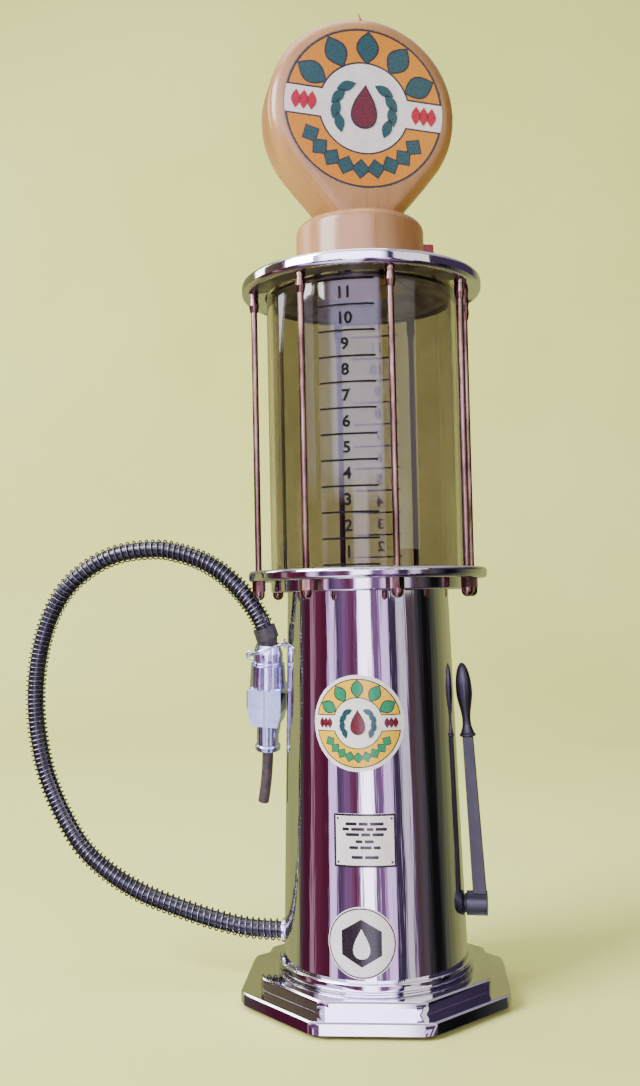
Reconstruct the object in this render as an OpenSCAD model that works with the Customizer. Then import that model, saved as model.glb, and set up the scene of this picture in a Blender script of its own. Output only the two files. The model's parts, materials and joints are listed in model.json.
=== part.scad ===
// Tabletop drinks dispenser in the form of an old visible-glass fuel pump.
// Millimetres. It stands on Z = 0 and its front faces -Y; the hose is at -X and the lever at +X.

/* [Base] */
// Width of the octagonal base across its flats
base_width = 122; // [120:1:130]
// Width of the raised step across its flats
step_width = 105; // [100:1:108]
// How far the base is turned from the front
base_turn = 6; // [0:1:20]

/* [Column] */
// Outside radius of the column at its foot
column_foot_r = 43.2; // [42.6:0.1:43.4]
// Outside radius of the column under the reservoir
column_top_r = 38.3; // [38:0.1:39]
// Thickness of the column's wall
column_wall = 1; // [0.8:0.1:1.2]

/* [Reservoir] */
// Outside radius of the glass
glass_r = 46; // [45:0.5:46]
// Thickness of the glass
glass_wall = 2.5; // [2:0.1:3]
// Height of the glass
glass_h = 133; // [110:1:150]
// Number of tie rods round the glass
rod_count = 8; // [6:1:10]
// Thickness of a tie rod
rod_d = 3; // [2.5:0.1:3.2]

/* [Globe] */
// Radius of the round globe
globe_r = 46; // [43:0.5:48]
// Thickness of the globe from face to face
globe_t = 30.6; // [28:0.2:34]
// Radius of each face disc
face_r = 38.8; // [34:0.2:39]
// How far the globe is turned to the right
globe_turn = 22; // [0:1:45]

/* [Nozzle and hose] */
// Width of the nozzle's block
block_w = 19.4; // [18:0.2:20]
// Lean of the nozzle's top to the front
nozzle_lean = 12; // [6:1:14]
// Lean of the nozzle's foot away from the column
nozzle_roll = 4; // [3:0.5:5]
// Outside diameter of the hose's inner tube
hose_d = 7.8; // [7:0.1:8]
// Spacing of the turns of the wire round the hose
wire_pitch = 3.2; // [3:0.1:5]

/* [Lever] */
// Height of the lever's pivot
pivot_z = 41.8; // [38:0.2:50]
// Length of the lever's arm from the pivot to the grip
arm_h = 77; // [60:1:90]

/* [Hidden] */
$fn = 72;

chrome = "gainsboro";
copper = [0.55, 0.33, 0.27];
cream = "burlywood";
black = [0.12, 0.12, 0.16];

// Small gaps: one for pieces that rest against each other, one for a turning fit.
gap = 0.02;
run = 0.05;

// Heights, from the table up.
foot_h = 2;
tier_h = 5.5;
step_z = foot_h + tier_h;
base_top_z = step_z + tier_h;
flange_top_z = base_top_z + 5;
column_z = base_top_z + 2;
column_h = 175;
column_top_z = column_z + column_h;
skirt_z = column_top_z - 2;
mid_z = skirt_z + 5.2;
mid_top_z = mid_z + 5;
gasket_t = 0.8;
glass_seat_z = mid_top_z - 1;
glass_z = glass_seat_z + gasket_t;
glass_top_z = glass_z + glass_h;
top_z = glass_top_z - 0.5;
top_disc_h = 6.8;
top_top_z = top_z + top_disc_h;
lamp_z = top_top_z + 0.3;
lamp_h = 28;
lamp_top_z = lamp_z + lamp_h;
globe_z = lamp_top_z + globe_r + 6.6;

function column_r(z) = column_foot_r + (column_top_r - column_foot_r) * (z - column_z) / column_h;

// Discs and rods of the reservoir.
mid_r = 56.9;
top_r = 57.8;
skirt_r = 46.2;
rod_circle_r = 52.7;
rod_end_z = top_top_z - 2.5;
rod_foot_z = mid_z - 6;
nut_across_flats = 5.5;
nut_hex_h = 4.6;
nut_dome_h = 4.2;
plug_r = 21.2;
fill_r = 21.5;

module around(count, r, turn = 0) {
    for (i = [0 : count - 1]) rotate([0, 0, turn + 360 * i / count]) translate([r, 0, 0]) children();
}

module at_rods() { around(rod_count, rod_circle_r, 270 + 180 / rod_count) children(); }

module ring(r, bore, h) {
    difference() {
        cylinder(r = r, h = h);
        translate([0, 0, -1]) cylinder(r = bore, h = h + 2);
    }
}

// A disc whose edge is rounded above and below.
module round_edge_disc(r, h, edge) {
    rotate_extrude() {
        square([r - edge, h]);
        translate([0, edge]) square([r, h - 2 * edge]);
        translate([r - edge, edge]) circle(edge, $fn = 24);
        translate([r - edge, h - edge]) circle(edge, $fn = 24);
    }
}

// ---- base ----

function octagon_r(width) = width / 2 / cos(22.5);

// One tier of the base: a regular octagon with its corners nipped off and its top edge bevelled.
module tier(width, h, bevel) {
    difference() {
        intersection() {
            rotate([0, 0, 22.5]) cylinder(r = octagon_r(width), h = h, $fn = 8);
            cylinder(r = octagon_r(octagon_r(width) * 2 - 2.4), h = h, $fn = 8);
        }
        for (i = [0 : 7])
            rotate([0, 0, 45 * i]) translate([width / 2, 0, h]) rotate([0, 45, 0])
                cube([bevel, width, bevel * 1.41], center = true);
    }
}

module at_base() { rotate([0, 0, base_turn]) children(); }

module at_feet() { around(4, 51.5, base_turn + 45) children(); }

module at_base_screws() { around(4, 54, base_turn) children(); }

module at_column_screws() { around(4, 38, base_turn + 22) children(); }

plate_t = 1.6;

module base_casting() {
    wall = 2.6;
    roof = 2;
    post_z = foot_h + plate_t + gap;
    color(chrome) difference() {
        union() {
            difference() {
                at_base() {
                    translate([0, 0, foot_h]) tier(base_width, tier_h, 1);
                    translate([0, 0, step_z - gap]) tier(step_width, tier_h + gap, 1);
                    translate([0, 0, base_top_z - roof]) cylinder(r = 44, h = roof + 0.2);
                }
                at_base() rotate([0, 0, 22.5]) translate([0, 0, foot_h - 1])
                    cylinder(r = octagon_r(base_width - 2 * wall), h = tier_h - roof + 1, $fn = 8);
                translate([0, 0, step_z - roof - 1]) cylinder(r = 47.5, h = base_top_z - step_z + 1);
            }
            at_base_screws() translate([0, 0, post_z]) cylinder(r = 3, h = step_z - roof - post_z + 0.1);
        }
        translate([0, 0, base_top_z - roof - 1]) cylinder(r = 30, h = roof + 3);
        at_column_screws() translate([0, 0, base_top_z - roof - 1]) cylinder(r = 1.6, h = roof + 3);
        at_base_screws() cylinder(r = 1.3, h = step_z - 0.8);
    }
}

module base_plate() {
    color("dimgray") difference() {
        at_base() rotate([0, 0, 22.5]) translate([0, 0, foot_h])
            cylinder(r = octagon_r(base_width - 5.8), h = plate_t, $fn = 8);
        at_base_screws() translate([0, 0, foot_h - 1]) cylinder(r = 1.6, h = plate_t + 2);
        at_feet() translate([0, 0, foot_h - 1]) cylinder(r = 2.02, h = plate_t + 2);
    }
}

module rubber_feet() {
    color("black") at_feet() {
        cylinder(r1 = 4.5, r2 = 5, h = foot_h - gap);
        cylinder(r = 2, h = foot_h + plate_t);
        translate([0, 0, foot_h + plate_t]) cylinder(r = 2.7, h = 0.8);
    }
}

module base_screws() {
    color(chrome) at_base_screws() {
        translate([0, 0, foot_h - 1.2]) cylinder(r = 2.6, h = 1.2 - gap);
        translate([0, 0, foot_h - 1.2]) cylinder(r = 1.25, h = 5.4);
    }
}

module column_screws() {
    color(chrome) at_column_screws() {
        translate([0, 0, base_top_z - 2 - 2.2]) cylinder(r = 2.8, h = 2.2 - gap);
        translate([0, 0, base_top_z - 2 - 2.2]) cylinder(r = 1.5, h = 7.2);
    }
}

// ---- column ----

module column_flange() {
    lip = 1;
    h = flange_top_z - base_top_z - 0.25;
    color(chrome) translate([0, 0, base_top_z + 0.25]) difference() {
        union() {
            ring(44.6, 33, h - 3.5);
            translate([0, 0, 0.7]) difference() {
                round_edge_disc(45.9, h - 0.7, lip);
                translate([0, 0, -1]) cylinder(r = 33, h = h + 2);
            }
        }
        translate([0, 0, column_z - base_top_z - 0.25]) cylinder(r = column_foot_r + gap, h = 10);
        at_column_screws() translate([0, 0, -1]) cylinder(r = 1.52, h = 10);
    }
}

hose_out_z = 26.3;

module column_shell() {
    color(chrome) difference() {
        translate([0, 0, column_z + gap])
            cylinder(r1 = column_foot_r, r2 = column_top_r, h = column_h - 2 * gap, $fn = 120);
        translate([0, 0, column_z - 1])
            cylinder(r1 = column_foot_r - column_wall, r2 = column_top_r - column_wall,
                     h = column_h + 2, $fn = 120);
        translate([0, 0, hose_out_z]) rotate([0, -90, 0]) cylinder(r = 3.92, h = 60);
        translate([0, 0, pivot_z]) rotate([0, 90, 0]) cylinder(r = 3.02, h = 60);
        translate([0, hook_y, hook_z]) rotate([0, -90, 0]) cylinder(r = 1.02, h = 60);
    }
}

// ---- reservoir ----

module mid_flange() {
    socket_h = 2;
    color(chrome) difference() {
        union() {
            translate([0, 0, mid_z]) round_edge_disc(mid_r, mid_top_z - mid_z, 1.6);
            translate([0, 0, skirt_z + gap]) round_edge_disc(skirt_r, mid_z - skirt_z + 2, 0.8);
        }
        translate([0, 0, skirt_z - 1]) cylinder(r = column_top_r + 0.15, h = socket_h + 1 + gap);
        translate([0, 0, skirt_z - 1]) cylinder(r = column_top_r - 3, h = 5.5);
        translate([0, 0, glass_seat_z]) ring(glass_r + 0.6, glass_r - glass_wall - 0.6, 5);
        at_rods() translate([0, 0, mid_z - 1]) cylinder(r = rod_d / 2 + 0.1, h = 10);
        translate([0, 0, skirt_z - 1]) cylinder(r = 3.6, h = 30);
        translate([0, 0, mid_top_z - 1.2]) cylinder(r = 7.2, h = 3);
    }
}

module gasket() { ring(glass_r + 0.4, glass_r - glass_wall - 0.2, gasket_t - 2 * gap); }

module lower_gasket() {
    color("black") translate([0, 0, glass_seat_z + gap]) gasket();
}

module glass_cylinder() {
    color([0.85, 0.9, 0.85, 0.35]) translate([0, 0, glass_z])
        ring(glass_r, glass_r - glass_wall, glass_h, $fn = 120);
}

module upper_gasket() {
    color("black") translate([0, 0, glass_top_z + gap]) gasket();
}

// Cap over the reservoir: a rim that clamps the glass, a lip inside the glass, a dished underside
// and the fill hole.
lid_t = 2.2;

module top_disc() {
    skirt_drop = 1.5;
    skirt_out = glass_r - glass_wall - 0.3;
    skirt_wall = 1.6;
    dish_r = 24;
    color(chrome) difference() {
        union() {
            translate([0, 0, top_z]) round_edge_disc(top_r, top_disc_h, 2.2);
            translate([0, 0, top_z - skirt_drop]) cylinder(r = skirt_out, h = skirt_drop + 1);
        }
        translate([0, 0, top_z - skirt_drop - gap])
            cylinder(r1 = skirt_out - skirt_wall, r2 = dish_r, h = skirt_drop + top_disc_h - lid_t + gap);
        translate([0, 0, top_z - 1])
            ring(glass_r + 0.6, skirt_out, 1 + gasket_t + 0.5);
        translate([0, 0, top_z - skirt_drop - 1]) cylinder(r = fill_r, h = skirt_drop + 20);
        at_rods() translate([0, 0, top_z - 1]) cylinder(r = rod_d / 2 + gap, h = rod_end_z - top_z + 1.2);
    }
}

module tie_rods() {
    color(copper) at_rods() translate([0, 0, rod_foot_z]) cylinder(r = rod_d / 2, h = rod_end_z - rod_foot_z);
}

module acorn_nuts() {
    dome_r = nut_across_flats / 2;
    color(copper) at_rods() translate([0, 0, mid_z - gap]) difference() {
        union() {
            translate([0, 0, -nut_hex_h])
                cylinder(r = nut_across_flats / 2 / cos(30), h = nut_hex_h, $fn = 6);
            translate([0, 0, -nut_hex_h - nut_dome_h + dome_r]) sphere(dome_r, $fn = 32);
            translate([0, 0, -nut_hex_h - nut_dome_h + dome_r]) cylinder(r = dome_r, h = nut_dome_h - dome_r);
        }
        translate([0, 0, -6.5]) cylinder(r = rod_d / 2 + run, h = 10);
    }
}

// Threaded sleeves that draw the rods up to the cap.
module rod_ferrules() {
    ferrule_h = 9;
    color(copper) at_rods() translate([0, 0, top_z - ferrule_h - gap]) difference() {
        union() {
            cylinder(r1 = 1.9, r2 = 2.4, h = 3);
            translate([0, 0, 3]) cylinder(r1 = 2.4, r2 = 2, h = 4);
            translate([0, 0, 7]) cylinder(r = 2.3, h = ferrule_h - 7);
        }
        translate([0, 0, -1]) cylinder(r = rod_d / 2 + run, h = ferrule_h + 2);
    }
}

// ---- plumbing inside the column ----

barb_r = 3.5;
tube_bore_r = 2;

module outlet_barb() {
    color("gainsboro") difference() {
        union() {
            translate([0, 0, mid_top_z - 1.2 + gap]) cylinder(r = 7, h = 1.2);
            translate([0, 0, skirt_z - 2]) cylinder(r = barb_r, h = mid_top_z - skirt_z + 1);
            for (i = [0 : 2])
                translate([0, 0, skirt_z - 10 + 2.6 * i]) cylinder(r1 = 2.4, r2 = 3, h = 2.6);
            translate([0, 0, skirt_z - 10]) cylinder(r = 2.4, h = 10);
        }
        translate([0, 0, skirt_z - 12]) cylinder(r = 1.6, h = 40);
    }
}

module outlet_nut() {
    color("gainsboro") translate([0, 0, skirt_z + 4.5 - 4 - gap]) difference() {
        cylinder(r = 6.5, h = 4, $fn = 6);
        translate([0, 0, -1]) cylinder(r = barb_r + gap, h = 6);
    }
}

// Clear tube that carries the drink down the column and out to the hose.
module supply_tube() {
    r = 4.2;
    bore = 3.03;
    bend = 20;
    drop = skirt_z - 2.2 - hose_out_z - bend;
    run_out = 36.5 - bend;
    color([0.9, 0.92, 0.9, 0.5]) {
        translate([0, 0, hose_out_z + bend]) ring(r, bore, drop);
        translate([-bend, 0, hose_out_z + bend]) rotate([90, 0, 0]) rotate_extrude(angle = -90)
            translate([bend, 0]) difference() {
                circle(r, $fn = 32);
                circle(bore, $fn = 32);
            }
        translate([-bend, 0, hose_out_z]) rotate([0, -90, 0]) ring(r, bore, run_out);
    }
}

hose_exit_x = -44.8;

// Bulkhead fitting through the column's wall, with a barb inside and a lip outside for the hose.
module hose_outlet() {
    color(chrome) translate([hose_exit_x, 0, hose_out_z]) rotate([0, 90, 0]) difference() {
        union() {
            round_edge_disc(5.6, 1.7, 0.5);
            cylinder(r = 3.9, h = 7);
            cylinder(r = 2.98, h = 14);
        }
        translate([0, 0, -1]) cylinder(r = tube_bore_r, h = 20);
    }
}

module hose_outlet_nut() {
    color(chrome) translate([hose_exit_x + 4, 0, hose_out_z]) rotate([0, 90, 0]) difference() {
        cylinder(r = 6.4, h = 2.6, $fn = 6);
        translate([0, 0, -1]) cylinder(r = 3.92, h = 5);
    }
}

// ---- the nozzle's own frame: Z along it, the origin on its axis at the collar, +X to the column ----

nozzle_at = [-49, -3, 160];

module at_nozzle() {
    translate(nozzle_at) rotate([0, nozzle_roll, 0]) rotate([nozzle_lean, 0, 0]) children();
}

// A direction in the nozzle's frame, turned into the object's.
function leant(v) = [v.x, v.y * cos(nozzle_lean) - v.z * sin(nozzle_lean),
                     v.y * sin(nozzle_lean) + v.z * cos(nozzle_lean)];
function rolled(v) = [v.x * cos(nozzle_roll) + v.z * sin(nozzle_roll), v.y,
                      v.z * cos(nozzle_roll) - v.x * sin(nozzle_roll)];
function from_nozzle(v) = rolled(leant(v));

// The cuff's sleeve starts at this height, and leans with the hose.
cuff_z = 6;
cuff_h = 6;
cuff_tilt = 20;

// ---- hose: a tube along a smooth curve, with a wire wound round it ----

// It starts at the top of the nozzle's cuff and ends at the bulkhead fitting.
cuff_dir = from_nozzle([-sin(cuff_tilt), 0, cos(cuff_tilt)]);
hose_start = nozzle_at + from_nozzle([0, 0, cuff_z]) + (cuff_h + gap) * cuff_dir;
hose_route = [
    hose_start, [-52.2, -6.3, 176.5], [-57.4, -7, 185], [-65, -6.8, 193.4], [-73, -6.2, 200],
    [-82, -5.5, 205], [-92, -5, 208.5], [-104.5, -4.2, 210.8], [-123.5, -3.2, 209.3],
    [-139.5, -2, 203.2], [-153, -1, 193], [-162, 0, 180],
    [-167.5, 0, 165], [-170.5, 0, 148], [-171, 0, 131], [-169, 0, 114], [-165, 0, 98],
    [-157, 0, 80], [-146, 0, 63], [-132, 0, 51], [-116, 0, 42], [-99, 0, 36],
    [-80, 0, 30.5], [-62, 0, 27], [hose_exit_x, 0, hose_out_z]
];

// Catmull-Rom curve through the route's points.
function route_end(i) = hose_route[max(0, min(len(hose_route) - 1, i))];
function spline(a, b, c, d, t) =
    0.5 * (2 * b + (c - a) * t + (2 * a - 5 * b + 4 * c - d) * t * t + (3 * b - a - 3 * c + d) * t * t * t);
function route_point(u) =
    let (i = min(len(hose_route) - 2, floor(u)))
    spline(route_end(i - 1), route_end(i), route_end(i + 1), route_end(i + 2), u - i);
function unit(v) = v / norm(v);
function route_dir(u) =
    unit(route_point(min(len(hose_route) - 1, u + 0.02)) - route_point(max(0, u - 0.02)));

// A closed tube: rings of points round each centre, in the plane across the curve.
// The curve stays close to the XZ plane, so Y serves as the side direction.
function side_dir(t) = unit(cross(t, [0, 1, 0]));
function tube_ring(c, t, r, sides) =
    let (a = side_dir(t), b = cross(t, a))
    [for (k = [0 : sides - 1]) c + r * (cos(360 * k / sides) * a + sin(360 * k / sides) * b)];
module swept(rings, sides) {
    last = len(rings) - 1;
    polyhedron(
        points = [for (one = rings) for (p = one) p],
        faces = concat(
            [[for (k = [0 : sides - 1]) k]],
            [for (i = [0 : last - 1]) for (k = [0 : sides - 1])
                [i * sides + k, (i + 1) * sides + k, (i + 1) * sides + (k + 1) % sides]],
            [for (i = [0 : last - 1]) for (k = [0 : sides - 1])
                [i * sides + k, (i + 1) * sides + (k + 1) % sides, i * sides + (k + 1) % sides]],
            [[for (k = [sides - 1 : -1 : 0]) last * sides + k]]
        )
    );
}

module hose() {
    sides = 12;
    steps = 3;
    spans = len(hose_route) - 1;
    rings = [for (i = [0 : spans * steps])
        let (u = i / steps, dir = i == 0 ? cuff_dir : i == spans * steps ? [1, 0, 0] : route_dir(u))
        tube_ring(route_point(u), dir, hose_d / 2, sides)];
    color(black) swept(rings, sides);
}

// Distance along the route at each of a run of even steps, so that the wire's turns come out even.
wire_r = 0.36;
wire_coil_r = hose_d / 2 + wire_r + 0.53;
measure_steps = 8;
function route_lengths(i = 0, so_far = 0) =
    i > (len(hose_route) - 1) * measure_steps ? []
    : let (u = i / measure_steps, back = max(0, u - 1 / measure_steps),
           here = so_far + norm(route_point(u) - route_point(back)))
      concat([here], route_lengths(i + 1, here));
route_marks = route_lengths();
hose_length = route_marks[len(route_marks) - 1];
function route_at(s) = lookup(s, [for (i = [0 : len(route_marks) - 1]) [route_marks[i], i / measure_steps]]);

module hose_spring() {
    per_turn = 8;
    sides = 4;
    clear = 1;
    turns = floor((hose_length - 2 * clear) / wire_pitch);
    coil = [for (i = [0 : turns * per_turn])
        let (s = clear + (hose_length - 2 * clear) * i / (turns * per_turn), u = route_at(s),
             t = route_dir(u), a = side_dir(t), b = cross(t, a), angle = 360 * i / per_turn)
        [route_point(u), t, cos(angle) * a + sin(angle) * b]];
    rings = [for (one = coil) [for (k = [0 : sides - 1]) let (a = 360 * k / sides)
        one[0] + (wire_coil_r + wire_r * cos(a)) * one[2] + wire_r * sin(a) * one[1]]];
    color("silver") swept(rings, sides);
}

// ---- nozzle ----
collar_r = 7.2;
passage_r = 2;
body_top = -6.3;
block_top = -17.2;
block_foot = -28.6;
taper_foot = -36;
spout_r = 5.4;
spout_foot = -47;

// Rubber cuff on the hose's end: a neck in the collar's mouth and a sleeve that leans with the hose.
module hose_cuff() {
    neck_r = 4.5;
    neck_bore_r = 2.4;
    foot = 1.8;
    color([0.3, 0.3, 0.34]) at_nozzle() difference() {
        union() {
            translate([0, 0, foot]) cylinder(r = neck_r, h = cuff_z - foot + 1);
            translate([0, 0, cuff_z]) rotate([0, -cuff_tilt, 0]) cylinder(r = 5.5, h = cuff_h);
        }
        translate([0, 0, foot - 1]) cylinder(r = neck_bore_r, h = cuff_z - foot + 1);
        translate([0, 0, cuff_z]) sphere(neck_bore_r + 0.5, $fn = 48);
        translate([0, 0, cuff_z]) rotate([0, -cuff_tilt, 0]) cylinder(r = passage_r, h = cuff_h + 1);
    }
}

// Chromed ring nut that holds the hose's cuff, with a waist groove and an eye for the hanger ring.
module nozzle_collar() {
    mouth_r = 5.6;
    shoulder = -1;
    rim = 3.6;
    groove = -4.2;
    color(chrome) at_nozzle() difference() {
        union() {
            translate([0, 0, shoulder]) cylinder(r1 = collar_r, r2 = mouth_r, h = rim - shoulder);
            translate([0, 0, groove]) cylinder(r = collar_r, h = shoulder - groove);
            translate([0, 0, groove - 0.9]) cylinder(r = collar_r - 0.5, h = 1);
            translate([0, 0, body_top + gap]) round_edge_disc(collar_r + 0.1, 1.4, 0.4);
            translate([-8.6, 0, -2.6]) rotate([90, 0, 0]) rotate_extrude()
                translate([1.9, 0]) circle(0.6, $fn = 16);
        }
        translate([0, 0, 1.7]) cylinder(r = 4.7, h = 4);
        translate([0, 0, body_top - 1]) cylinder(r = passage_r, h = 12);
        translate([0, 0, body_top - 1]) cylinder(r = 4.62, h = 3.6);
    }
}

// Outline of the block seen from the front, and seen along the nozzle.
module block_front() {
    w = block_w / 2;
    polygon([[-w + 2, block_top], [w - 2, block_top], [w, block_top - 2.4], [w, block_foot + 1.6],
             [w - 1.4, block_foot], [6.4, taper_foot], [-6.4, taper_foot], [-w + 1.4, block_foot],
             [-w, block_foot + 1.6], [-w, block_top - 2.4]]);
}

block_d = 16;
pin_at = [6.2, -19];
pin_length = 15;
plunger_z = -31.5;

module nozzle_solid() {
    difference() {
        union() {
            translate([0, 0, body_top - 1]) cylinder(r = 4.6, h = 3.3);
            translate([0, 0, block_top - 0.5]) cylinder(r1 = 8.9, r2 = 8.1, h = body_top - block_top + 0.5);
            intersection() {
                rotate([90, 0, 0]) linear_extrude(height = block_d, center = true) block_front();
                union() {
                    translate([0, 0, taper_foot]) cylinder(r = 11.4, h = block_top - taper_foot, $fn = 8);
                    translate([0, 0, taper_foot])
                        cylinder(r1 = 8, r2 = 10.5, h = block_foot - taper_foot);
                }
            }
            translate([0, 0, spout_foot]) cylinder(r = spout_r, h = taper_foot - spout_foot + 6);
        }
        translate([0, 0, spout_foot - 1]) cylinder(r = passage_r, h = 60);
        translate([0, 0, spout_foot - 1]) cylinder(r = 2.75, h = 8);
        translate([-1.7, 3.4, -26.5]) cube([3.4, 10, 13]);
        translate([0, 0, plunger_z]) rotate([-90, 0, 0]) cylinder(r = 1.5, h = 20);
        translate([0, pin_at[0], pin_at[1]]) rotate([0, 90, 0])
            cylinder(r = 0.82, h = pin_length + 0.2, center = true);
    }
}

// The two halves meet on the nozzle's middle plane; side is -1 for the left and 1 for the right.
module nozzle_half(side) {
    half = 20;
    seam = 0.12;
    color(chrome) at_nozzle() intersection() {
        nozzle_solid();
        translate([side * (half + seam), 0, -25]) cube([2 * half, 2 * half, 60], center = true);
    }
}

module nozzle_left_half() { nozzle_half(-1); }
module nozzle_right_half() { nozzle_half(1); }

module outlet_ring() {
    color("white") at_nozzle() translate([0, 0, spout_foot - 2.8 - gap]) difference() {
        round_edge_disc(spout_r + 0.8, 2.8, 0.6);
        translate([0, 0, -1]) cylinder(r = 2.75, h = 5);
    }
}

// Spout tube, curved slightly outwards; its upper end is held in the nozzle.
module spout_tube() {
    bend_r = 180;
    bend = 9;
    r = 2.7;
    bore = 1.7;
    held = 6;
    color([0.24, 0.2, 0.22]) at_nozzle() {
        translate([0, 0, spout_foot - 2]) ring(r, bore, held + 2);
        translate([-bend_r, 0, spout_foot - 2]) rotate([90, 0, 0]) rotate_extrude(angle = -bend, $fn = 360)
            translate([bend_r, 0]) difference() {
                circle(r, $fn = 32);
                circle(bore, $fn = 32);
            }
    }
}

// Trigger behind the nozzle: an eye on the pin, a tongue in the block's slot and a bowed blade.
blade_at = [3.2, -33];
blade_r = 15;
blade_t = 2;
blade_span = 3 * blade_r;

module trigger() {
    color(chrome) at_nozzle() rotate([90, 0, 90]) difference() {
        union() {
            linear_extrude(height = 6, center = true) translate(blade_at) intersection() {
                difference() {
                    circle(blade_r);
                    circle(blade_r - blade_t);
                }
                polygon([[0, 0], [blade_span * cos(62), blade_span * sin(62)],
                         [blade_span, 0], [blade_span * cos(60), -blade_span * sin(60)]]);
            }
            linear_extrude(height = 3, center = true) {
                translate(pin_at) circle(2.4, $fn = 32);
                translate([pin_at[0], pin_at[1] - 2.6]) square([4.6, 4]);
            }
        }
        translate(pin_at) cylinder(r = 0.85, h = 10, center = true);
    }
}

module trigger_pin() {
    color("silver") at_nozzle() translate([0, pin_at[0], pin_at[1]]) rotate([0, 90, 0])
        cylinder(r = 0.8, h = pin_length, center = true);
}

plunger_tip = 2.3;
plunger_end = 15.6;

module valve_plunger() {
    color("white") at_nozzle() translate([0, 0, plunger_z]) rotate([-90, 0, 0]) {
        translate([0, 0, plunger_tip]) cylinder(r = 1.4, h = plunger_end - plunger_tip);
        translate([0, 0, plunger_end - 1]) cylinder(r = 1.9, h = 1);
    }
}

module trigger_spring() {
    r = 2;
    wire = 0.25;
    sides = 6;
    per_turn = 12;
    turns = 5;
    from = block_d / 2 + 0.2 + wire;
    length = plunger_end - 1.1 - wire - from;
    rings = [for (i = [0 : turns * per_turn])
        let (a = 360 * i / per_turn, y = from + length * i / (turns * per_turn))
        [for (k = [0 : sides - 1]) let (w = r + wire * cos(360 * k / sides))
            [w * cos(a), y + wire * sin(360 * k / sides), plunger_z + w * sin(a)]]];
    color("silver") at_nozzle() swept(rings, sides);
}

// ---- hanger: a wire ring through the collar's eye, laid in a hook on the column ----

hanger_r = 9.45;
hanger_wire = 0.5;
hanger_tilt = 17.4;
hook_y = nozzle_at[1];
hook_z = nozzle_at[2] + 2.1;
hanger_at = [nozzle_at[0] + 0.25, hook_y, nozzle_at[2] + 0.88];

module hanger_ring() {
    color(chrome) translate(hanger_at) rotate([0, -hanger_tilt, 0])
        rotate_extrude() translate([hanger_r, 0]) circle(hanger_wire, $fn = 20);
}

module hanger_hook() {
    ring_x = hanger_at[0] + hanger_r * cos(hanger_tilt);
    tip_t = 0.6;
    tip_x = ring_x - hanger_wire - 0.12 - tip_t;
    wall_x = -sqrt(pow(column_r(hook_z), 2) - hook_y * hook_y);
    color(chrome) {
        translate([tip_x, hook_y - 1.2, hook_z - 0.5]) cube([-tip_x + wall_x - 0.3, 2.4, 1.5]);
        translate([tip_x, hook_y - 1.2, hook_z - 0.5]) cube([tip_t, 2.4, 4.1]);
        translate([-37, hook_y, hook_z]) rotate([0, -90, 0]) cylinder(r = 1, h = -wall_x - 37 + 0.6);
        translate([-36.2, hook_y, hook_z]) rotate([0, -90, 0]) cylinder(r = 2.2, h = 1);
    }
}

// ---- lever ----

boss_r = 5.6;
boss_x = 43.4;
boss_face_x = 53;
arm_lean = 3.4;
grip_at = [45.95, 0, pivot_z + arm_h];

module lever_arm() {
    arm_t = 5;
    foot_w = 6.4;
    head_w = 4.9;
    color(black) difference() {
        union() {
            translate([boss_x, 0, pivot_z]) rotate([0, 90, 0]) cylinder(r = boss_r, h = boss_face_x - boss_x);
            rotate([90, 0, 0]) linear_extrude(height = arm_t, center = true)
                polygon([[boss_face_x - foot_w, pivot_z], [boss_face_x, pivot_z - 2],
                         [boss_face_x - 0.4, pivot_z + boss_r],
                         [grip_at[0] + head_w / 2, grip_at[2]], [grip_at[0] - head_w / 2, grip_at[2]]]);
            translate(grip_at) rotate([0, -arm_lean, 0]) translate([0, 0, -1]) cylinder(r = 1.4, h = 18);
        }
        translate([boss_x - 1, 0, pivot_z]) rotate([0, 90, 0]) cylinder(r = 2 + gap, h = 7.2);
    }
}

// Turned grip: a flared foot, a thin neck and a long pear.
module lever_grip() {
    flare_r = 3.9;
    neck_r = 1.95;
    belly_r = 3.8;
    neck_h = 7.5;
    belly_h = 21.5;
    grip_h = 34.6;
    steps = 10;
    outline = concat(
        [[0, 0.2], [flare_r - 0.3, 0.2], [flare_r, 0.6], [flare_r - 0.2, 1.1]],
        [for (i = [1 : steps]) [neck_r + (flare_r - 0.4 - neck_r) * pow(1 - i / steps, 2),
                                1.1 + (neck_h - 1.1) * i / steps]],
        [for (i = [1 : steps]) [neck_r + (belly_r - neck_r) * (1 - cos(180 * i / steps)) / 2,
                                neck_h + (belly_h - neck_h) * i / steps]],
        [for (i = [1 : steps]) [belly_r * cos(90 * i / steps),
                                belly_h + (grip_h - belly_h) * sin(90 * i / steps)]]
    );
    color(black) translate(grip_at) rotate([0, -arm_lean, 0]) difference() {
        rotate_extrude() polygon(outline);
        translate([0, 0, -1]) cylinder(r = 1.4 + run, h = 18.2);
    }
}

module lever_shaft() {
    color("silver") translate([37.5, 0, pivot_z]) rotate([0, 90, 0]) cylinder(r = 2, h = 12);
}

module lever_bushing() {
    color("dimgray") translate([40.2, 0, pivot_z]) rotate([0, 90, 0]) difference() {
        union() {
            cylinder(r = 3, h = 3);
            translate([0, 0, column_r(pivot_z) - 40.2 + 0.1]) cylinder(r = 4.4, h = 0.7);
        }
        translate([0, 0, -1]) cylinder(r = 2 + run, h = 8);
    }
}

module lever_clip() {
    color("silver") translate([38.4, 0, pivot_z]) rotate([0, 90, 0]) ring(3.6, 2 + gap, 0.8);
}

// ---- lamp: stopper, battery base and globe ----

stub_r = 5;

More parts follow.
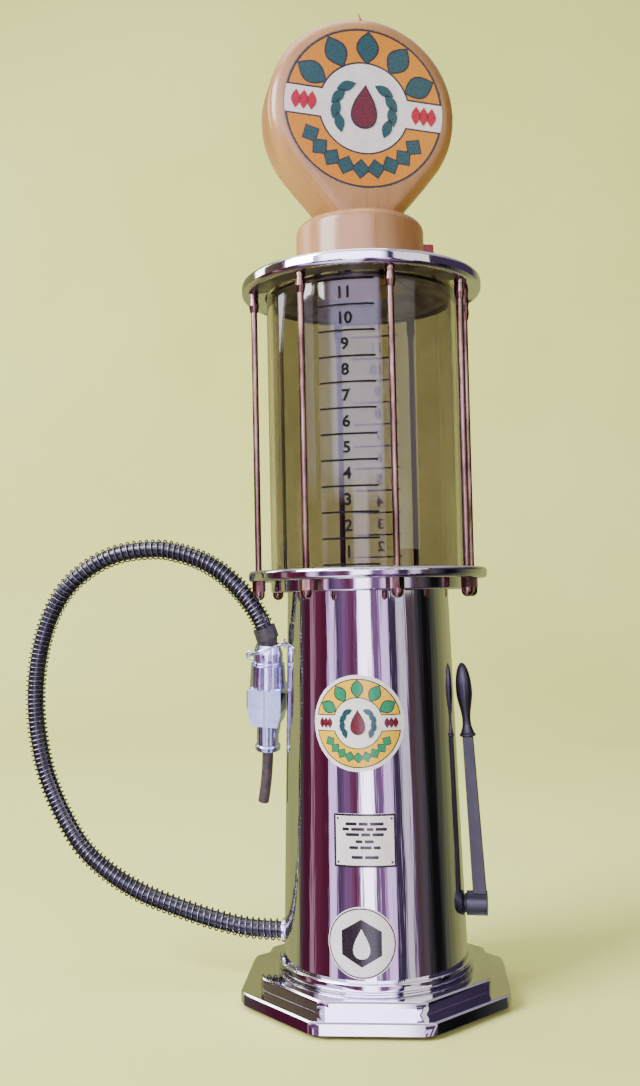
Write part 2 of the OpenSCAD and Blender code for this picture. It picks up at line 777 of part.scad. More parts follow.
module stopper_plug() {
    drop = lid_t + 0.8;
    color(cream) difference() {
        union() {
            translate([0, 0, top_top_z - drop]) cylinder(r = plug_r, h = drop + 0.3);
            translate([0, 0, top_top_z + gap]) cylinder(r = 24, h = 1.2);
            translate([0, 0, top_top_z]) cylinder(r = stub_r, h = 4.4);
        }
        translate([0, 0, seal_z]) ring(plug_r + 1, plug_r - 1.5, seal_h);
    }
}

seal_h = 1.8;
seal_z = top_top_z - 2.1;

module stopper_seal() {
    r = 0.8;
    color("white") translate([0, 0, seal_z + seal_h / 2]) rotate_extrude()
        translate([fill_r - 0.05 - r, 0]) circle(r, $fn = 24);
}

lamp_r = 31;
lamp_wall = 2;
cover_z = top_top_z + 1.7;
switch_z = lamp_z + 16.4;
button_w = 8;
button_h = 7;

module at_lamp() { rotate([0, 0, globe_turn]) children(); }

module lamp_base() {
    edge = 5;
    color(cream) at_lamp() difference() {
        translate([0, 0, lamp_z]) rotate_extrude() {
            square([lamp_r - edge, lamp_h]);
            square([lamp_r, lamp_h - edge]);
            translate([lamp_r - edge, lamp_h - edge]) circle(edge, $fn = 32);
        }
        translate([0, 0, lamp_z - 1]) cylinder(r = lamp_r - lamp_wall, h = lamp_h - edge + 0.5);
        translate([0, 0, lamp_z]) cylinder(r = lamp_r - edge, h = lamp_h - 2.5);
        translate([0, 0, lamp_z]) cylinder(r = holder_r + gap, h = lamp_h + 5);
        translate([lamp_r - 4, -button_w / 2 - 0.3, switch_z - button_h / 2 - 0.3])
            cube([10, button_w + 0.6, button_h + 0.6]);
    }
}

module battery_cover() {
    color(cream) at_lamp() translate([0, 0, cover_z]) difference() {
        cylinder(r = lamp_r - lamp_wall - 0.05, h = 1.6);
        translate([0, 0, -1]) cylinder(r = stub_r + run, h = 5);
    }
}

cell_r = 5.25;
cell_h = 44;
cell_x = 5.6;
cell_z = cover_z + 3.6 + cell_r;

module battery_tray() {
    color("white") at_lamp() difference() {
        translate([-12.5, -24.4, cover_z + 2.8]) cube([25, 48.8, 5.4]);
        for (side = [-1, 1]) translate([side * cell_x, 0, cell_z]) rotate([90, 0, 0])
            cylinder(r = cell_r + 0.1, h = 47, center = true);
        translate([-11.2, -23.5, cell_z]) cube([22.4, 47, 10]);
        translate([0, 0, cover_z]) cylinder(r = 5.4, h = 3.2);
    }
}

module batteries() {
    color("dimgray") at_lamp()
        for (side = [-1, 1]) translate([side * cell_x, 0, cell_z]) rotate([side * 90, 0, 0]) {
            translate([0, 0, -cell_h / 2]) cylinder(r = cell_r, h = cell_h);
            translate([0, 0, cell_h / 2]) cylinder(r = 1.9, h = 0.9);
        }
}

contact_y = 23.15;

module battery_contacts() {
    color("silver") at_lamp() for (side = [-1, 1]) for (end = [-1, 1])
        translate([side * cell_x - 3.5, end * contact_y - 0.15, cell_z - 3.6]) cube([7, 0.3, 9.6]);
}

holder_r = 7;
holder_z = lamp_top_z - 9;

module lamp_wires() {
    wire = 0.5;
    wire_y = contact_y - 0.15 - wire - gap;
    wire_z = cell_z + 7.4;
    color("red") at_lamp() for (side = [-1, 1]) translate([side * cell_x, side * wire_y, wire_z]) {
        translate([0, 0, -1.9]) cylinder(r = wire, h = 1.9, $fn = 16);
        sphere(wire, $fn = 16);
        rotate([side * 90, 0, 0]) cylinder(r = wire, h = 17, $fn = 16);
    }
}

module bulb_holder() {
    color("white") at_lamp() difference() {
        union() {
            translate([0, 0, holder_z]) cylinder(r = holder_r, h = 11);
            translate([0, 0, lamp_top_z + 0.05]) cylinder(r = 8.6, h = 1.2);
        }
        translate([0, 0, holder_z + 4]) cylinder(r = 4.05, h = 20);
    }
}

module bulb() {
    color("lightyellow") at_lamp() {
        translate([0, 0, holder_z + 4 + gap]) cylinder(r = 4, h = 14);
        translate([0, 0, holder_z + 18]) sphere(5.5);
    }
}

module switch_body() {
    color("black") at_lamp() translate([lamp_r - lamp_wall - 8.4, -5, switch_z - 4]) difference() {
        cube([7, 10, 8]);
        translate([4, 5 - 2.3, 4 - 2.3]) cube([6, 4.6, 4.6]);
    }
}

module switch_button() {
    face_x = 36.4;
    color("crimson") at_lamp() {
        translate([lamp_r - lamp_wall + 0.6, -button_w / 2, switch_z - button_h / 2])
            cube([face_x - lamp_r + lamp_wall - 0.6, button_w, button_h]);
        translate([lamp_r - lamp_wall - 2.2, -2, switch_z - 2]) cube([4, 4, 4]);
    }
}

// Globe: a thick round drum with soft edges, open at both faces, on a pedestal that flares up into it.
globe_edge = 5.3;
globe_wall = 2;
pedestal_w = 15;
pedestal_t = 29;
pedestal_rise = globe_z - lamp_top_z;
pedestal_reach = norm([pedestal_w, pedestal_rise]);
flare_r = globe_r - 0.5;
flare_len = sqrt(pedestal_reach * pedestal_reach - flare_r * flare_r);
flare_angle = 180 - atan2(pedestal_rise, pedestal_w) - asin(flare_r / pedestal_reach);

// Outline of the pedestal seen from the front, drawn in by a wall's thickness for its hollow.
module pedestal_front(wall) {
    w = pedestal_w - wall / sin(flare_angle);
    polygon([[-w, 0], [w, 0],
             [w + flare_len * cos(flare_angle), flare_len * sin(flare_angle)],
             [-w - flare_len * cos(flare_angle), flare_len * sin(flare_angle)]]);
}

module pedestal(wall) {
    rotate([90, 0, 0]) linear_extrude(height = pedestal_t - 2 * wall, center = true) pedestal_front(wall);
}

module drum(r, t, edge) {
    rotate([90, 0, 0]) translate([0, 0, -t / 2]) rotate_extrude($fn = 120) {
        square([r - edge, t]);
        translate([0, edge]) square([r, t - 2 * edge]);
        for (y = [edge, t - edge]) translate([r - edge, y]) circle(edge, $fn = 40);
    }
}

module globe_shell() {
    color(cream) at_lamp() difference() {
        union() {
            translate([0, 0, globe_z]) drum(globe_r, globe_t, globe_edge);
            translate([0, 0, lamp_top_z + gap]) pedestal(0);
            translate([0, -12, globe_z + globe_r - 4.6]) rotate([8, -14, 0])
                cylinder(r1 = 2, r2 = 0.4, h = 6.6, $fn = 24);
        }
        translate([0, 0, globe_z])
            drum(globe_r - globe_wall, globe_t - 2 * globe_wall, globe_edge - globe_wall);
        translate([0, 0, globe_z]) rotate([90, 0, 0])
            cylinder(r = face_r - 2, h = 2 * globe_t, center = true);
        for (side = [-1, 1]) translate([0, side * (globe_t / 2 + 3.8), globe_z]) rotate([90, 0, 0])
            cylinder(r = face_r + 0.1, h = 10, center = true, $fn = 120);
        translate([0, 0, lamp_top_z + gap]) pedestal(globe_wall);
        translate([0, 0, lamp_top_z - 1]) cylinder(r = 9, h = 3);
    }
}

// Printed face disc, slightly crowned edge, seated in the globe's opening.
module globe_face(side) {
    t = 1.1;
    seat = globe_t / 2 - 1.2 + gap;
    color("orange") at_lamp() translate([0, side * (seat + t / 2), globe_z]) rotate([90, 0, 0])
        cylinder(r = face_r, h = t, center = true, $fn = 120);
}

module front_face() { globe_face(-1); }
module rear_face() { globe_face(1); }

// ---- labels on the column ----

label_t = 0.25;
badge_d = 42.5;
badge_z = 129.4;
plate_w = 27.7;
plate_h = 23.1;
plate_z = 78.4;
plate_turn = 3;
foot_badge_d = 30.8;
foot_badge_z = 34.5;

// Thin skin over the column between two heights.
module column_skin(z0, z1) {
    out = gap + label_t;
    difference() {
        translate([0, 0, z0])
            cylinder(r1 = column_r(z0) + out, r2 = column_r(z1) + out, h = z1 - z0, $fn = 120);
        translate([0, 0, z0 - 1])
            cylinder(r1 = column_r(z0 - 1) + gap, r2 = column_r(z1 + 1) + gap, h = z1 - z0 + 2, $fn = 120);
    }
}

// Outline of a round label of diameter d once it is wrapped on a cylinder of radius r.
function wrapped_circle(d, r) =
    [for (i = [0 : 5 : 355]) [r * sin(d / 2 * cos(i) / r * 180 / PI), d / 2 * sin(i)]];

module wrapped_round(d, z) {
    intersection() {
        column_skin(z - d / 2 - 1, z + d / 2 + 1);
        translate([0, 0, z]) rotate([90, 0, 0]) linear_extrude(height = 60)
            polygon(wrapped_circle(d, column_r(z)));
    }
}

module round_badge() { color("khaki") wrapped_round(badge_d, badge_z); }

module foot_badge() { color("white") wrapped_round(foot_badge_d, foot_badge_z); }

module notice_plate() {
    half_w = column_r(plate_z) * sin(plate_w / 2 / column_r(plate_z) * 180 / PI);
    color("white") rotate([0, 0, plate_turn]) intersection() {
        column_skin(plate_z - plate_h / 2, plate_z + plate_h / 2);
        translate([-half_w, -60, plate_z - plate_h]) cube([2 * half_w, 60, 2 * plate_h]);
    }
}

base_casting();
base_plate();
rubber_feet();
base_screws();
column_screws();
column_flange();
column_shell();
mid_flange();
lower_gasket();
glass_cylinder();
upper_gasket();
top_disc();
tie_rods();
acorn_nuts();
rod_ferrules();
outlet_barb();
outlet_nut();
supply_tube();
hose_outlet();
hose_outlet_nut();
hose();
hose_spring();
hose_cuff();
nozzle_collar();
nozzle_left_half();
nozzle_right_half();
outlet_ring();
spout_tube();
trigger();
trigger_pin();
trigger_spring();
valve_plunger();
hanger_ring();
hanger_hook();
lever_arm();
lever_grip();
lever_shaft();
lever_bushing();
lever_clip();
stopper_plug();
stopper_seal();
lamp_base();
battery_cover();
battery_tray();
batteries();
battery_contacts();
lamp_wires();
bulb_holder();
bulb();
switch_body();
switch_button();
globe_shell();
front_face();
rear_face();
round_badge();
notice_plate();
foot_badge();
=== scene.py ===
"""Tabletop drinks dispenser in the form of an old visible-glass fuel pump: its looks, on the CAD frame."""
import json
import math

import bmesh
import bpy
from mathutils import Matrix, Vector
from mathutils.bvhtree import BVHTree


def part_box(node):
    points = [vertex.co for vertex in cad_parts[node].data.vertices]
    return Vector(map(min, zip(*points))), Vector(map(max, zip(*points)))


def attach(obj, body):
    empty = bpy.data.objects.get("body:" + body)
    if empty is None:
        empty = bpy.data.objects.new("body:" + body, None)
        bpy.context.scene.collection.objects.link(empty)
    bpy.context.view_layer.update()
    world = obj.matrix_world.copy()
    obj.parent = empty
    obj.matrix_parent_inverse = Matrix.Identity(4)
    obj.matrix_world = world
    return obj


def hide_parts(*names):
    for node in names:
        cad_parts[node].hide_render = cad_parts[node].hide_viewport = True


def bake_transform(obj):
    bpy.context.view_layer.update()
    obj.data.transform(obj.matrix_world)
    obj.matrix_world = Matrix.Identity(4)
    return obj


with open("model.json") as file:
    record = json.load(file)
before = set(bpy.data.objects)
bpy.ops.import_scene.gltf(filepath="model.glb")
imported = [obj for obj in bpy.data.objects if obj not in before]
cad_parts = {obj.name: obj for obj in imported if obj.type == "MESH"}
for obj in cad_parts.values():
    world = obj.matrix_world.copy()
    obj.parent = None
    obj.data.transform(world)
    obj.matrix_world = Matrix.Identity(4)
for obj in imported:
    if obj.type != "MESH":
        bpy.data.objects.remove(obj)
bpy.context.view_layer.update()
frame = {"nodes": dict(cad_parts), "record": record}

MM = 0.001
NODES = frame["nodes"]
BODY_OF = {node: body for body, nodes in frame["record"]["behaviour"]["bodies"].items() for node in nodes}
SLOT_OF = {row["node"]: row["material_slot"] for row in frame["record"]["subparts"]}


# ---- camera: its place, lens and angles (in degrees) are fitted to the photo ----

CAMERA_AT = (0.0759, -0.5249, 0.1845)
CAMERA_SENSOR, CAMERA_LENS = 36, 36.52
CAMERA_TURN, CAMERA_RISE, CAMERA_ROLL = 10.65, 2.92, -1.18


def make_camera():
    data = bpy.data.cameras.new("camera")
    data.sensor_width = CAMERA_SENSOR
    data.lens = CAMERA_LENS
    camera = bpy.data.objects.new("camera", data)
    bpy.context.scene.collection.objects.link(camera)
    turn = Matrix.Rotation(math.radians(CAMERA_TURN), 4, "Z")
    tilt = Matrix.Rotation(math.radians(90 + CAMERA_RISE), 4, "X")
    roll = Matrix.Rotation(math.radians(CAMERA_ROLL), 4, "Z")
    camera.matrix_world = Matrix.Translation(CAMERA_AT) @ turn @ tilt @ roll
    bpy.context.scene.camera = camera


make_camera()


# ---- mesh helpers ----

def new_object(name, bm, smooth=35):
    """A mesh object from a bmesh, smooth except across edges sharper than the angle."""
    bmesh.ops.recalc_face_normals(bm, faces=bm.faces)
    mesh = bpy.data.meshes.new(name)
    bm.to_mesh(mesh)
    bm.free()
    mesh.shade_smooth()
    mesh.set_sharp_from_angle(angle=math.radians(smooth))
    made = bpy.data.objects.new(name, mesh)
    bpy.context.scene.collection.objects.link(made)
    return made


def finish_piece(piece, body, slot, look, replaced=()):
    """Gives a piece its look, puts it on the body it rides on and hides the CAD nodes it stands for. Its
    slot is not used.
    """
    piece.data.materials.clear()
    piece.data.materials.append(look)
    if body:
        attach(piece, body)
    if replaced:
        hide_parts(*replaced)
    return piece


def corner_radius(node, z, tolerance=0.6 * MM):
    """Largest distance from the column's axis among a CAD node's corners near a height."""
    return max(v.co.xy.length for v in NODES[node].data.vertices if abs(v.co.z - z) < tolerance)


def box_middle(node):
    low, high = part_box(node)
    return (low + high) / 2


def swept_tube(bm, path, radius, sides, first=None, last=None):
    """A closed tube along a path. first and last are the directions that its two ends face."""
    count = len(path)
    normal = None
    rings = []
    for i, here in enumerate(path):
        along = (path[min(i + 1, count - 1)] - path[max(i - 1, 0)]).normalized()
        if i == 0 and first:
            along = first.normalized()
        if i == count - 1 and last:
            along = last.normalized()
        if normal is None:
            normal = along.orthogonal().normalized()
        normal = (normal - along * normal.dot(along)).normalized()
        side = along.cross(normal)
        size = radius(i / (count - 1)) if callable(radius) else radius
        rings.append([
            bm.verts.new(here + size * (math.cos(a) * normal + math.sin(a) * side))
            for a in (math.tau * k / sides for k in range(sides))
        ])
    for one, two in zip(rings, rings[1:]):
        for k in range(sides):
            bm.faces.new((one[k], one[(k + 1) % sides], two[(k + 1) % sides], two[k]))
    bm.faces.new(rings[0])
    bm.faces.new(rings[-1])


# ---- hose: the route is the CAD's own, in metres ----

HOSE_DIAMETER = 7.8 * MM
HOSE_LENGTH = 0.373
HOSE_STEPS = 300
WIRE_RADIUS = 0.36 * MM
WIRE_STEPS = 2900
# share of the hose that the wire leaves bare at each end
WIRE_MARGIN = 0.004
COIL_RADIUS = HOSE_DIAMETER / 2 + WIRE_RADIUS + 0.53 * MM
# distance from turn to turn of the wire in mm, by share of the hose from the nozzle
WIRE_PITCH = ((0, 1.9), (0.12, 2.6), (0.22, 3.3), (0.33, 3.0), (0.42, 2.3), (0.62, 2.3), (0.75, 2.6),
              (0.85, 3.0), (1, 3.1))
NOZZLE_AT = Vector((-0.049, -0.003, 0.160))
NOZZLE_TURN = Matrix.Rotation(math.radians(4), 3, "Y") @ Matrix.Rotation(math.radians(12), 3, "X")
CUFF_DIRECTION = NOZZLE_TURN @ Vector((-math.sin(math.radians(20)), 0, math.cos(math.radians(20))))
HOSE_START = NOZZLE_AT + NOZZLE_TURN @ Vector((0, 0, 6 * MM)) + 6.02 * MM * CUFF_DIRECTION
HOSE_ROUTE = [HOSE_START] + [Vector(p) * MM for p in (
    (-52.2, -6.3, 176.5), (-57.4, -7, 185), (-65, -6.8, 193.4), (-73, -6.2, 200),
    (-82, -5.5, 205), (-92, -5, 208.5), (-104.5, -4.2, 210.8), (-123.5, -3.2, 209.3),
    (-139.5, -2, 203.2), (-153, -1, 193), (-162, 0, 180), (-167.5, 0, 165), (-170.5, 0, 148),
    (-171, 0, 131), (-169, 0, 114), (-165, 0, 98), (-157, 0, 80), (-146, 0, 63), (-132, 0, 51),
    (-116, 0, 42), (-99, 0, 36), (-80, 0, 30.5), (-62, 0, 27), (-44.8, 0, 26.3),
)]


def route_point(u):
    """The Catmull-Rom curve through the route's points."""
    i = min(len(HOSE_ROUTE) - 2, int(u))
    t = u - i
    a, b, c, d = (HOSE_ROUTE[max(0, min(len(HOSE_ROUTE) - 1, k))] for k in (i - 1, i, i + 1, i + 2))
    return 0.5 * (2 * b + (c - a) * t + (2 * a - 5 * b + 4 * c - d) * t ** 2
                  + (3 * b - a - 3 * c + d) * t ** 3)


def even_path(steps):
    """Points along the route at even distances."""
    fine = [route_point(u / 40) for u in range(40 * (len(HOSE_ROUTE) - 1) + 1)]
    marks = [0.0]
    for one, two in zip(fine, fine[1:]):
        marks.append(marks[-1] + (two - one).length)
    path = []
    k = 0
    for i in range(steps + 1):
        wanted = marks[-1] * i / steps
        while k < len(marks) - 2 and marks[k + 1] < wanted:
            k += 1
        share = (wanted - marks[k]) / (marks[k + 1] - marks[k])
        path.append(fine[k].lerp(fine[k + 1], share))
    return path


def wire_turns(steps):
    """Turns of the wire so far, at even steps along the hose."""
    turns = [0.0]
    for i in range(steps):
        s = (i + 0.5) / steps
        k = max(j for j in range(len(WIRE_PITCH) - 1) if WIRE_PITCH[j][0] <= s)
        (s0, p0), (s1, p1) = WIRE_PITCH[k], WIRE_PITCH[k + 1]
        pitch = (p0 + (p1 - p0) * (s - s0) / (s1 - s0)) * MM
        turns.append(turns[-1] + HOSE_LENGTH / steps / pitch)
    return turns


def bend_hose(piece):
    """Bakes the hose piece's place into its mesh."""
    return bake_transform(piece)


def wire_path(path):
    """The middle of the wire, wound round the hose's path."""
    turns = wire_turns(WIRE_STEPS)
    coil = []
    for i in range(WIRE_STEPS + 1):
        k = (WIRE_MARGIN + (1 - 2 * WIRE_MARGIN) * i / WIRE_STEPS) * HOSE_STEPS
        low = min(int(k), HOSE_STEPS - 1)
        centre = path[low].lerp(path[low + 1], k - low)
        along = (path[min(low + 2, HOSE_STEPS)] - path[max(low - 1, 0)]).normalized()
        across = along.cross(Vector((0, 1, 0))).normalized()
        other = along.cross(across)
        angle = math.tau * turns[i]
        coil.append(centre + COIL_RADIUS * (math.cos(angle) * across + math.sin(angle) * other))
    return coil


def make_hose(rubber, steel):
    path = even_path(HOSE_STEPS)
    bm = bmesh.new()
    swept_tube(bm, path, HOSE_DIAMETER / 2, 28, first=CUFF_DIRECTION, last=Vector((1, 0, 0)))
    tube = finish_piece(new_object("hose_tube", bm), None, "hose_rubber", rubber, ["hose"])
    bm = bmesh.new()
    swept_tube(bm, wire_path(path), WIRE_RADIUS, 6)
    wire = finish_piece(new_object("hose_wire", bm, 80), None, "steel", steel, ["hose_spring"])
    for piece in (tube, wire):
        bend_hose(piece)
    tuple(HOSE_ROUTE[-1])


# ---- materials ----

def linear(r, g, b):
    """A screen colour from 0 to 255 as Blender's linear one."""
    shares = [c / 255 for c in (r, g, b)]
    return tuple(((s + 0.055) / 1.055) ** 2.4 if s > 0.04 else s / 12.92 for s in shares) + (1,)


def darker(colour, by):
    return tuple(by * c for c in colour[:3]) + (1,)


def surface(name, colour, second=None, grain=60, stretch=(1, 1, 1), rough=(0.3, 0.4), bump=0.1,
            bump_grain=900, blotch=(0.4, 0.65), depth=0.1 * MM, **fixed):
    """A material whose colour drifts to a second one in blotches, with uneven gloss and a fine grain."""
    made = bpy.data.materials.new(name)
    made.use_nodes = True
    nodes, links = made.node_tree.nodes, made.node_tree.links
    shader = nodes["Principled BSDF"]
    place = nodes.new("ShaderNodeTexCoord")
    scale = nodes.new("ShaderNodeMapping")
    scale.inputs["Scale"].default_value = stretch
    links.new(place.outputs["Object"], scale.inputs["Vector"])

    def noise(size, detail):
        one = nodes.new("ShaderNodeTexNoise")
        one.inputs["Scale"].default_value = size
        one.inputs["Detail"].default_value = detail
        links.new(scale.outputs["Vector"], one.inputs["Vector"])
        return one.outputs["Fac"]

    blotches = nodes.new("ShaderNodeValToRGB")
    blotches.color_ramp.elements[0].position, blotches.color_ramp.elements[1].position = blotch
    blotches.color_ramp.elements[0].color = colour
    blotches.color_ramp.elements[1].color = second or darker(colour, 0.86)
    links.new(noise(grain, 4), blotches.inputs["Fac"])
    links.new(blotches.outputs["Color"], shader.inputs["Base Color"])

    gloss = nodes.new("ShaderNodeMapRange")
    gloss.inputs["From Min"].default_value = 0.35
    gloss.inputs["From Max"].default_value = 0.7
    gloss.inputs["To Min"].default_value, gloss.inputs["To Max"].default_value = rough
    links.new(noise(grain * 1.7, 6), gloss.inputs["Value"])
    links.new(gloss.outputs["Result"], shader.inputs["Roughness"])

    if bump:
        relief = nodes.new("ShaderNodeBump")
        relief.inputs["Strength"].default_value = bump
        relief.inputs["Distance"].default_value = depth
        links.new(noise(bump_grain, 3), relief.inputs["Height"])
        links.new(relief.outputs["Normal"], shader.inputs["Normal"])
    for socket, value in fixed.items():
        shader.inputs[socket.replace("_", " ")].default_value = value
    return made


def metal(name, colour, second=None, **rest):
    return surface(name, colour, second, Metallic=1.0, **rest)


def clear(name, colour, second=None, **rest):
    """Glass: light goes through it."""
    return surface(name, colour, second, Transmission_Weight=1.0, IOR=1.45, **rest)


def printed(name, colour):
    """Ink on a glossy label."""
    return surface(name, colour, darker(colour, 0.93), grain=700, rough=(0.25, 0.34), bump=0.05,
                   bump_grain=2500, Coat_Weight=0.25)


CHROME_LIGHT, CHROME_DARK = linear(236, 232, 240), linear(222, 218, 228)


def make_metals():
    return {
        "chrome": metal("chrome", CHROME_LIGHT, CHROME_DARK, grain=25, stretch=(1, 1, 0.12),
                        rough=(0.03, 0.09), bump=0.05, bump_grain=60, depth=0.2 * MM),
        "column_chrome": metal("column_chrome", CHROME_LIGHT, CHROME_DARK, grain=60, stretch=(1, 1, 0.03),
                               rough=(0.02, 0.07), bump=0.6, bump_grain=330, depth=0.2 * MM),
        # painted shade: the cap's underside is a darker grey than the chrome, for the shade under the cap;
        # its higher roughness is its own finish
        "shaded_cap_underside": metal("shaded_cap_underside", linear(150, 144, 162), linear(112, 106, 122), grain=90,
                               rough=(0.34, 0.5), bump=0.3, bump_grain=500),
        "cast_chrome": metal("cast_chrome", linear(222, 226, 255), linear(198, 204, 244), grain=130,
                             rough=(0.16, 0.28), bump=0.12, bump_grain=420, depth=0.12 * MM),
        "steel": metal("steel_wire", linear(205, 203, 208), linear(160, 158, 162), grain=240,
                       rough=(0.18, 0.32), bump=0.15, bump_grain=1800),
        "spring_wire": metal("spring_wire", linear(128, 126, 134), linear(92, 90, 98), grain=240,
                             rough=(0.16, 0.3), bump=0.12, bump_grain=1800),
        "copper": metal("copper_plate", linear(146, 114, 102), linear(88, 62, 54), grain=170,
                        stretch=(1, 1, 0.3), rough=(0.15, 0.3), bump=0.25, bump_grain=500),
    }


def make_rubbers_and_plastics():
    return {
        "base_plate": surface("painted_sheet", linear(52, 52, 54), grain=90, rough=(0.5, 0.65), bump=0.2),
        "foot_rubber": surface("foot_rubber", linear(24, 23, 24), linear(44, 42, 42), grain=300,
                               rough=(0.7, 0.9), bump=0.3, bump_grain=1500),
        "gasket_rubber": surface("gasket_rubber", linear(26, 25, 26), grain=300, rough=(0.6, 0.8),
                                 bump=0.3, bump_grain=1500),
        "fitting_plastic": surface("natural_plastic", linear(222, 219, 208), grain=220, rough=(0.35, 0.5)),
        "hose_rubber": surface("hose_rubber", linear(14, 13, 24), linear(26, 24, 38), grain=260,
                               rough=(0.22, 0.38), bump=0.2, bump_grain=1200, Coat_Weight=0.2),
        "cuff_rubber": surface("cuff_rubber", linear(46, 44, 50), linear(66, 62, 68), grain=300,
                               rough=(0.38, 0.55), bump=0.3, bump_grain=1500),
        "spout_rubber": surface("spout_rubber", linear(78, 66, 74), linear(58, 48, 56), grain=240,
                                rough=(0.35, 0.5), bump=0.25, bump_grain=1400),
        "lever_plastic": surface("lever_plastic", linear(18, 17, 34), linear(28, 26, 46), grain=120,
                                 rough=(0.28, 0.42), bump=0.2, bump_grain=1100, Coat_Weight=0.15),
        "bushing_plastic": surface("bushing_plastic", linear(30, 30, 34), grain=200, rough=(0.4, 0.55)),
        "cream_plastic": surface("ivory_plastic", linear(184, 136, 92), linear(158, 110, 68), grain=34,
                                 stretch=(1, 1, 0.18), rough=(0.24, 0.4), bump=0.12, bump_grain=240,
                                 Subsurface_Weight=0.18, Subsurface_Scale=0.004, Coat_Weight=0.12),
        "seal_rubber": surface("seal_rubber", linear(226, 224, 216), grain=200, rough=(0.5, 0.65)),
        "cell_wrap": surface("cell_wrap", linear(44, 46, 58), grain=200, rough=(0.25, 0.4), Metallic=0.6),
        "wire_cover": surface("wire_cover", linear(176, 36, 36), grain=400, rough=(0.35, 0.5)),
        "switch_case": surface("switch_case", linear(28, 28, 30), grain=300, rough=(0.4, 0.55)),
        "switch_red": surface("switch_red", linear(156, 14, 42), linear(126, 8, 32), grain=260,
                              rough=(0.25, 0.4), bump=0.15, Coat_Weight=0.3),
        "seam": surface("seam_shadow", linear(120, 84, 56), linear(150, 108, 74), grain=400,
                        rough=(0.5, 0.6)),
    }


def make_clear_looks():
    return {
        # painted shade: the glass is tinted grey so that what shows through it looks darker, as if in
        # shadow, not for a tint the glass itself has
        "glass": clear("glass", linear(176, 169, 174), linear(166, 159, 164), grain=18, rough=(0.0, 0.02),
                       bump=0.02, bump_grain=30),
        "bulb_glass": clear("bulb_glass", linear(250, 240, 215), grain=90, rough=(0.0, 0.04), bump=0.02),
        "clear_tube": surface("clear_tube", linear(232, 238, 230), grain=90, rough=(0.05, 0.15), bump=0.05,
                              Transmission_Weight=0.9, IOR=1.42),
    }


INKS = {"black": (26, 18, 26), "orange": (206, 128, 4), "yellow": (232, 182, 20), "teal": (12, 66, 76),
        "green": (4, 128, 96), "red": (170, 8, 40), "maroon": (92, 10, 30)}


def make_print_looks():
    made = {f"ink_{name}": printed(f"ink_{name}", linear(*colour)) for name, colour in INKS.items()}
    made["scale_ink"] = surface("scale_ink", linear(12, 10, 14), linear(22, 18, 24), grain=700,
                                rough=(0.6, 0.75), bump=0.05, bump_grain=2500, Specular_IOR_Level=0.1)
    made["face_print"] = surface("face_enamel", linear(238, 226, 252), linear(226, 212, 246), grain=160,
                                 rough=(0.2, 0.3), bump=0.04, bump_grain=1500, Coat_Weight=0.4)
    made["label_print"] = surface("label_vinyl", linear(238, 228, 255), linear(228, 216, 250), grain=160,
                                  rough=(0.25, 0.36), bump=0.05, bump_grain=1500, Coat_Weight=0.3)
    return made


def make_looks():
    """Every material, by the slot or the name that the pieces ask for."""
    return {**make_metals(), **make_rubbers_and_plastics(), **make_clear_looks(), **make_print_looks()}


# ---- CAD nodes: each keeps its shape or gets a copy with its hard edges rounded ----

# widths of the rounded edges, in mm
BEVELS = {
    "base_casting": 0.45, "base_plate": 0.2, "rubber_feet": 0.3, "column_flange": 0.1, "acorn_nuts": 0.18,
    "hose_outlet_nut": 0.2, "hose_cuff": 0.3, "nozzle_collar": 0.15, "nozzle_left_half": 0.7,
    "nozzle_right_half": 0.7, "trigger": 0.25, "spout_tube": 0.2, "hanger_hook": 0.12, "lever_arm": 0.4,
    "top_disc": 0.2, "stopper_plug": 0.25, "battery_cover": 0.2, "switch_body": 0.3, "switch_button": 0.6,
}
CAST = ("nozzle_collar", "nozzle_left_half", "nozzle_right_half", "trigger", "hanger_hook", "outlet_ring")
OWN_LOOKS = {"column_shell": "column_chrome", **{node: "cast_chrome" for node in CAST}}
# edges that turn more than this are rounded
SHARP_ANGLE = math.radians(38)
# the cap's underside, which takes the painted shade, lies within this distance of the axis and this far
# below its top
CAP_UNDER_R, CAP_UNDER_DEPTH = 42.5 * MM, 1 * MM


def rounded_copy(node, width, look):
    """A CAD node's shape with its hard edges rounded, shown in its place."""
    bm = bmesh.new()
    bm.from_mesh(NODES[node].data)
    bmesh.ops.remove_doubles(bm, verts=bm.verts, dist=0.001 * MM)
    bmesh.ops.dissolve_limit(bm, angle_limit=math.radians(0.5), verts=bm.verts, edges=bm.edges)
    copy = new_object(node + "_finished", bm)
    bevel = copy.modifiers.new("edges", "BEVEL")
    bevel.width = width * MM
    bevel.segments = 3
    bevel.limit_method = "ANGLE"
    bevel.angle_limit = SHARP_ANGLE
    shading = copy.modifiers.new("shading", "WEIGHTED_NORMAL")
    shading.keep_sharp = True
    return finish_piece(copy, BODY_OF[node], SLOT_OF[node], look, [node])


def make_trigger_spring(look):
    """The trigger's spring: a copy of the CAD node's mesh, baked in place."""
    node = "trigger_spring"
    bm = bmesh.new()
    bm.from_mesh(NODES[node].data)
    spring = finish_piece(new_object(node + "_finished", bm, 80), None, SLOT_OF[node], look, [node])
    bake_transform(spring)


def dish_the_cap(cap, look):
    """The cap's underside takes a rougher metal in a darker grey than its rim: the roughness is its own dull
    finish, the darker grey is painted shade under the cap.
    """
    cap.data.materials.append(look)
    top = max(v.co.z for v in cap.data.vertices)
    for face in cap.data.polygons:
        if face.center.xy.length < CAP_UNDER_R and face.center.z < top - CAP_UNDER_DEPTH:
            face.material_index = 1


def dress_nodes(looks):
    for node, cad in NODES.items():
        look = looks[OWN_LOOKS.get(node, SLOT_OF[node])]
        cad.data.materials.clear()
        cad.data.materials.append(look)
        if node in BEVELS:
            rounded_copy(node, BEVELS[node], look)
    dish_the_cap(bpy.data.objects["top_disc_finished"], looks["shaded_cap_underside"])


# ---- globe: a drum that runs smoothly down into its foot ----

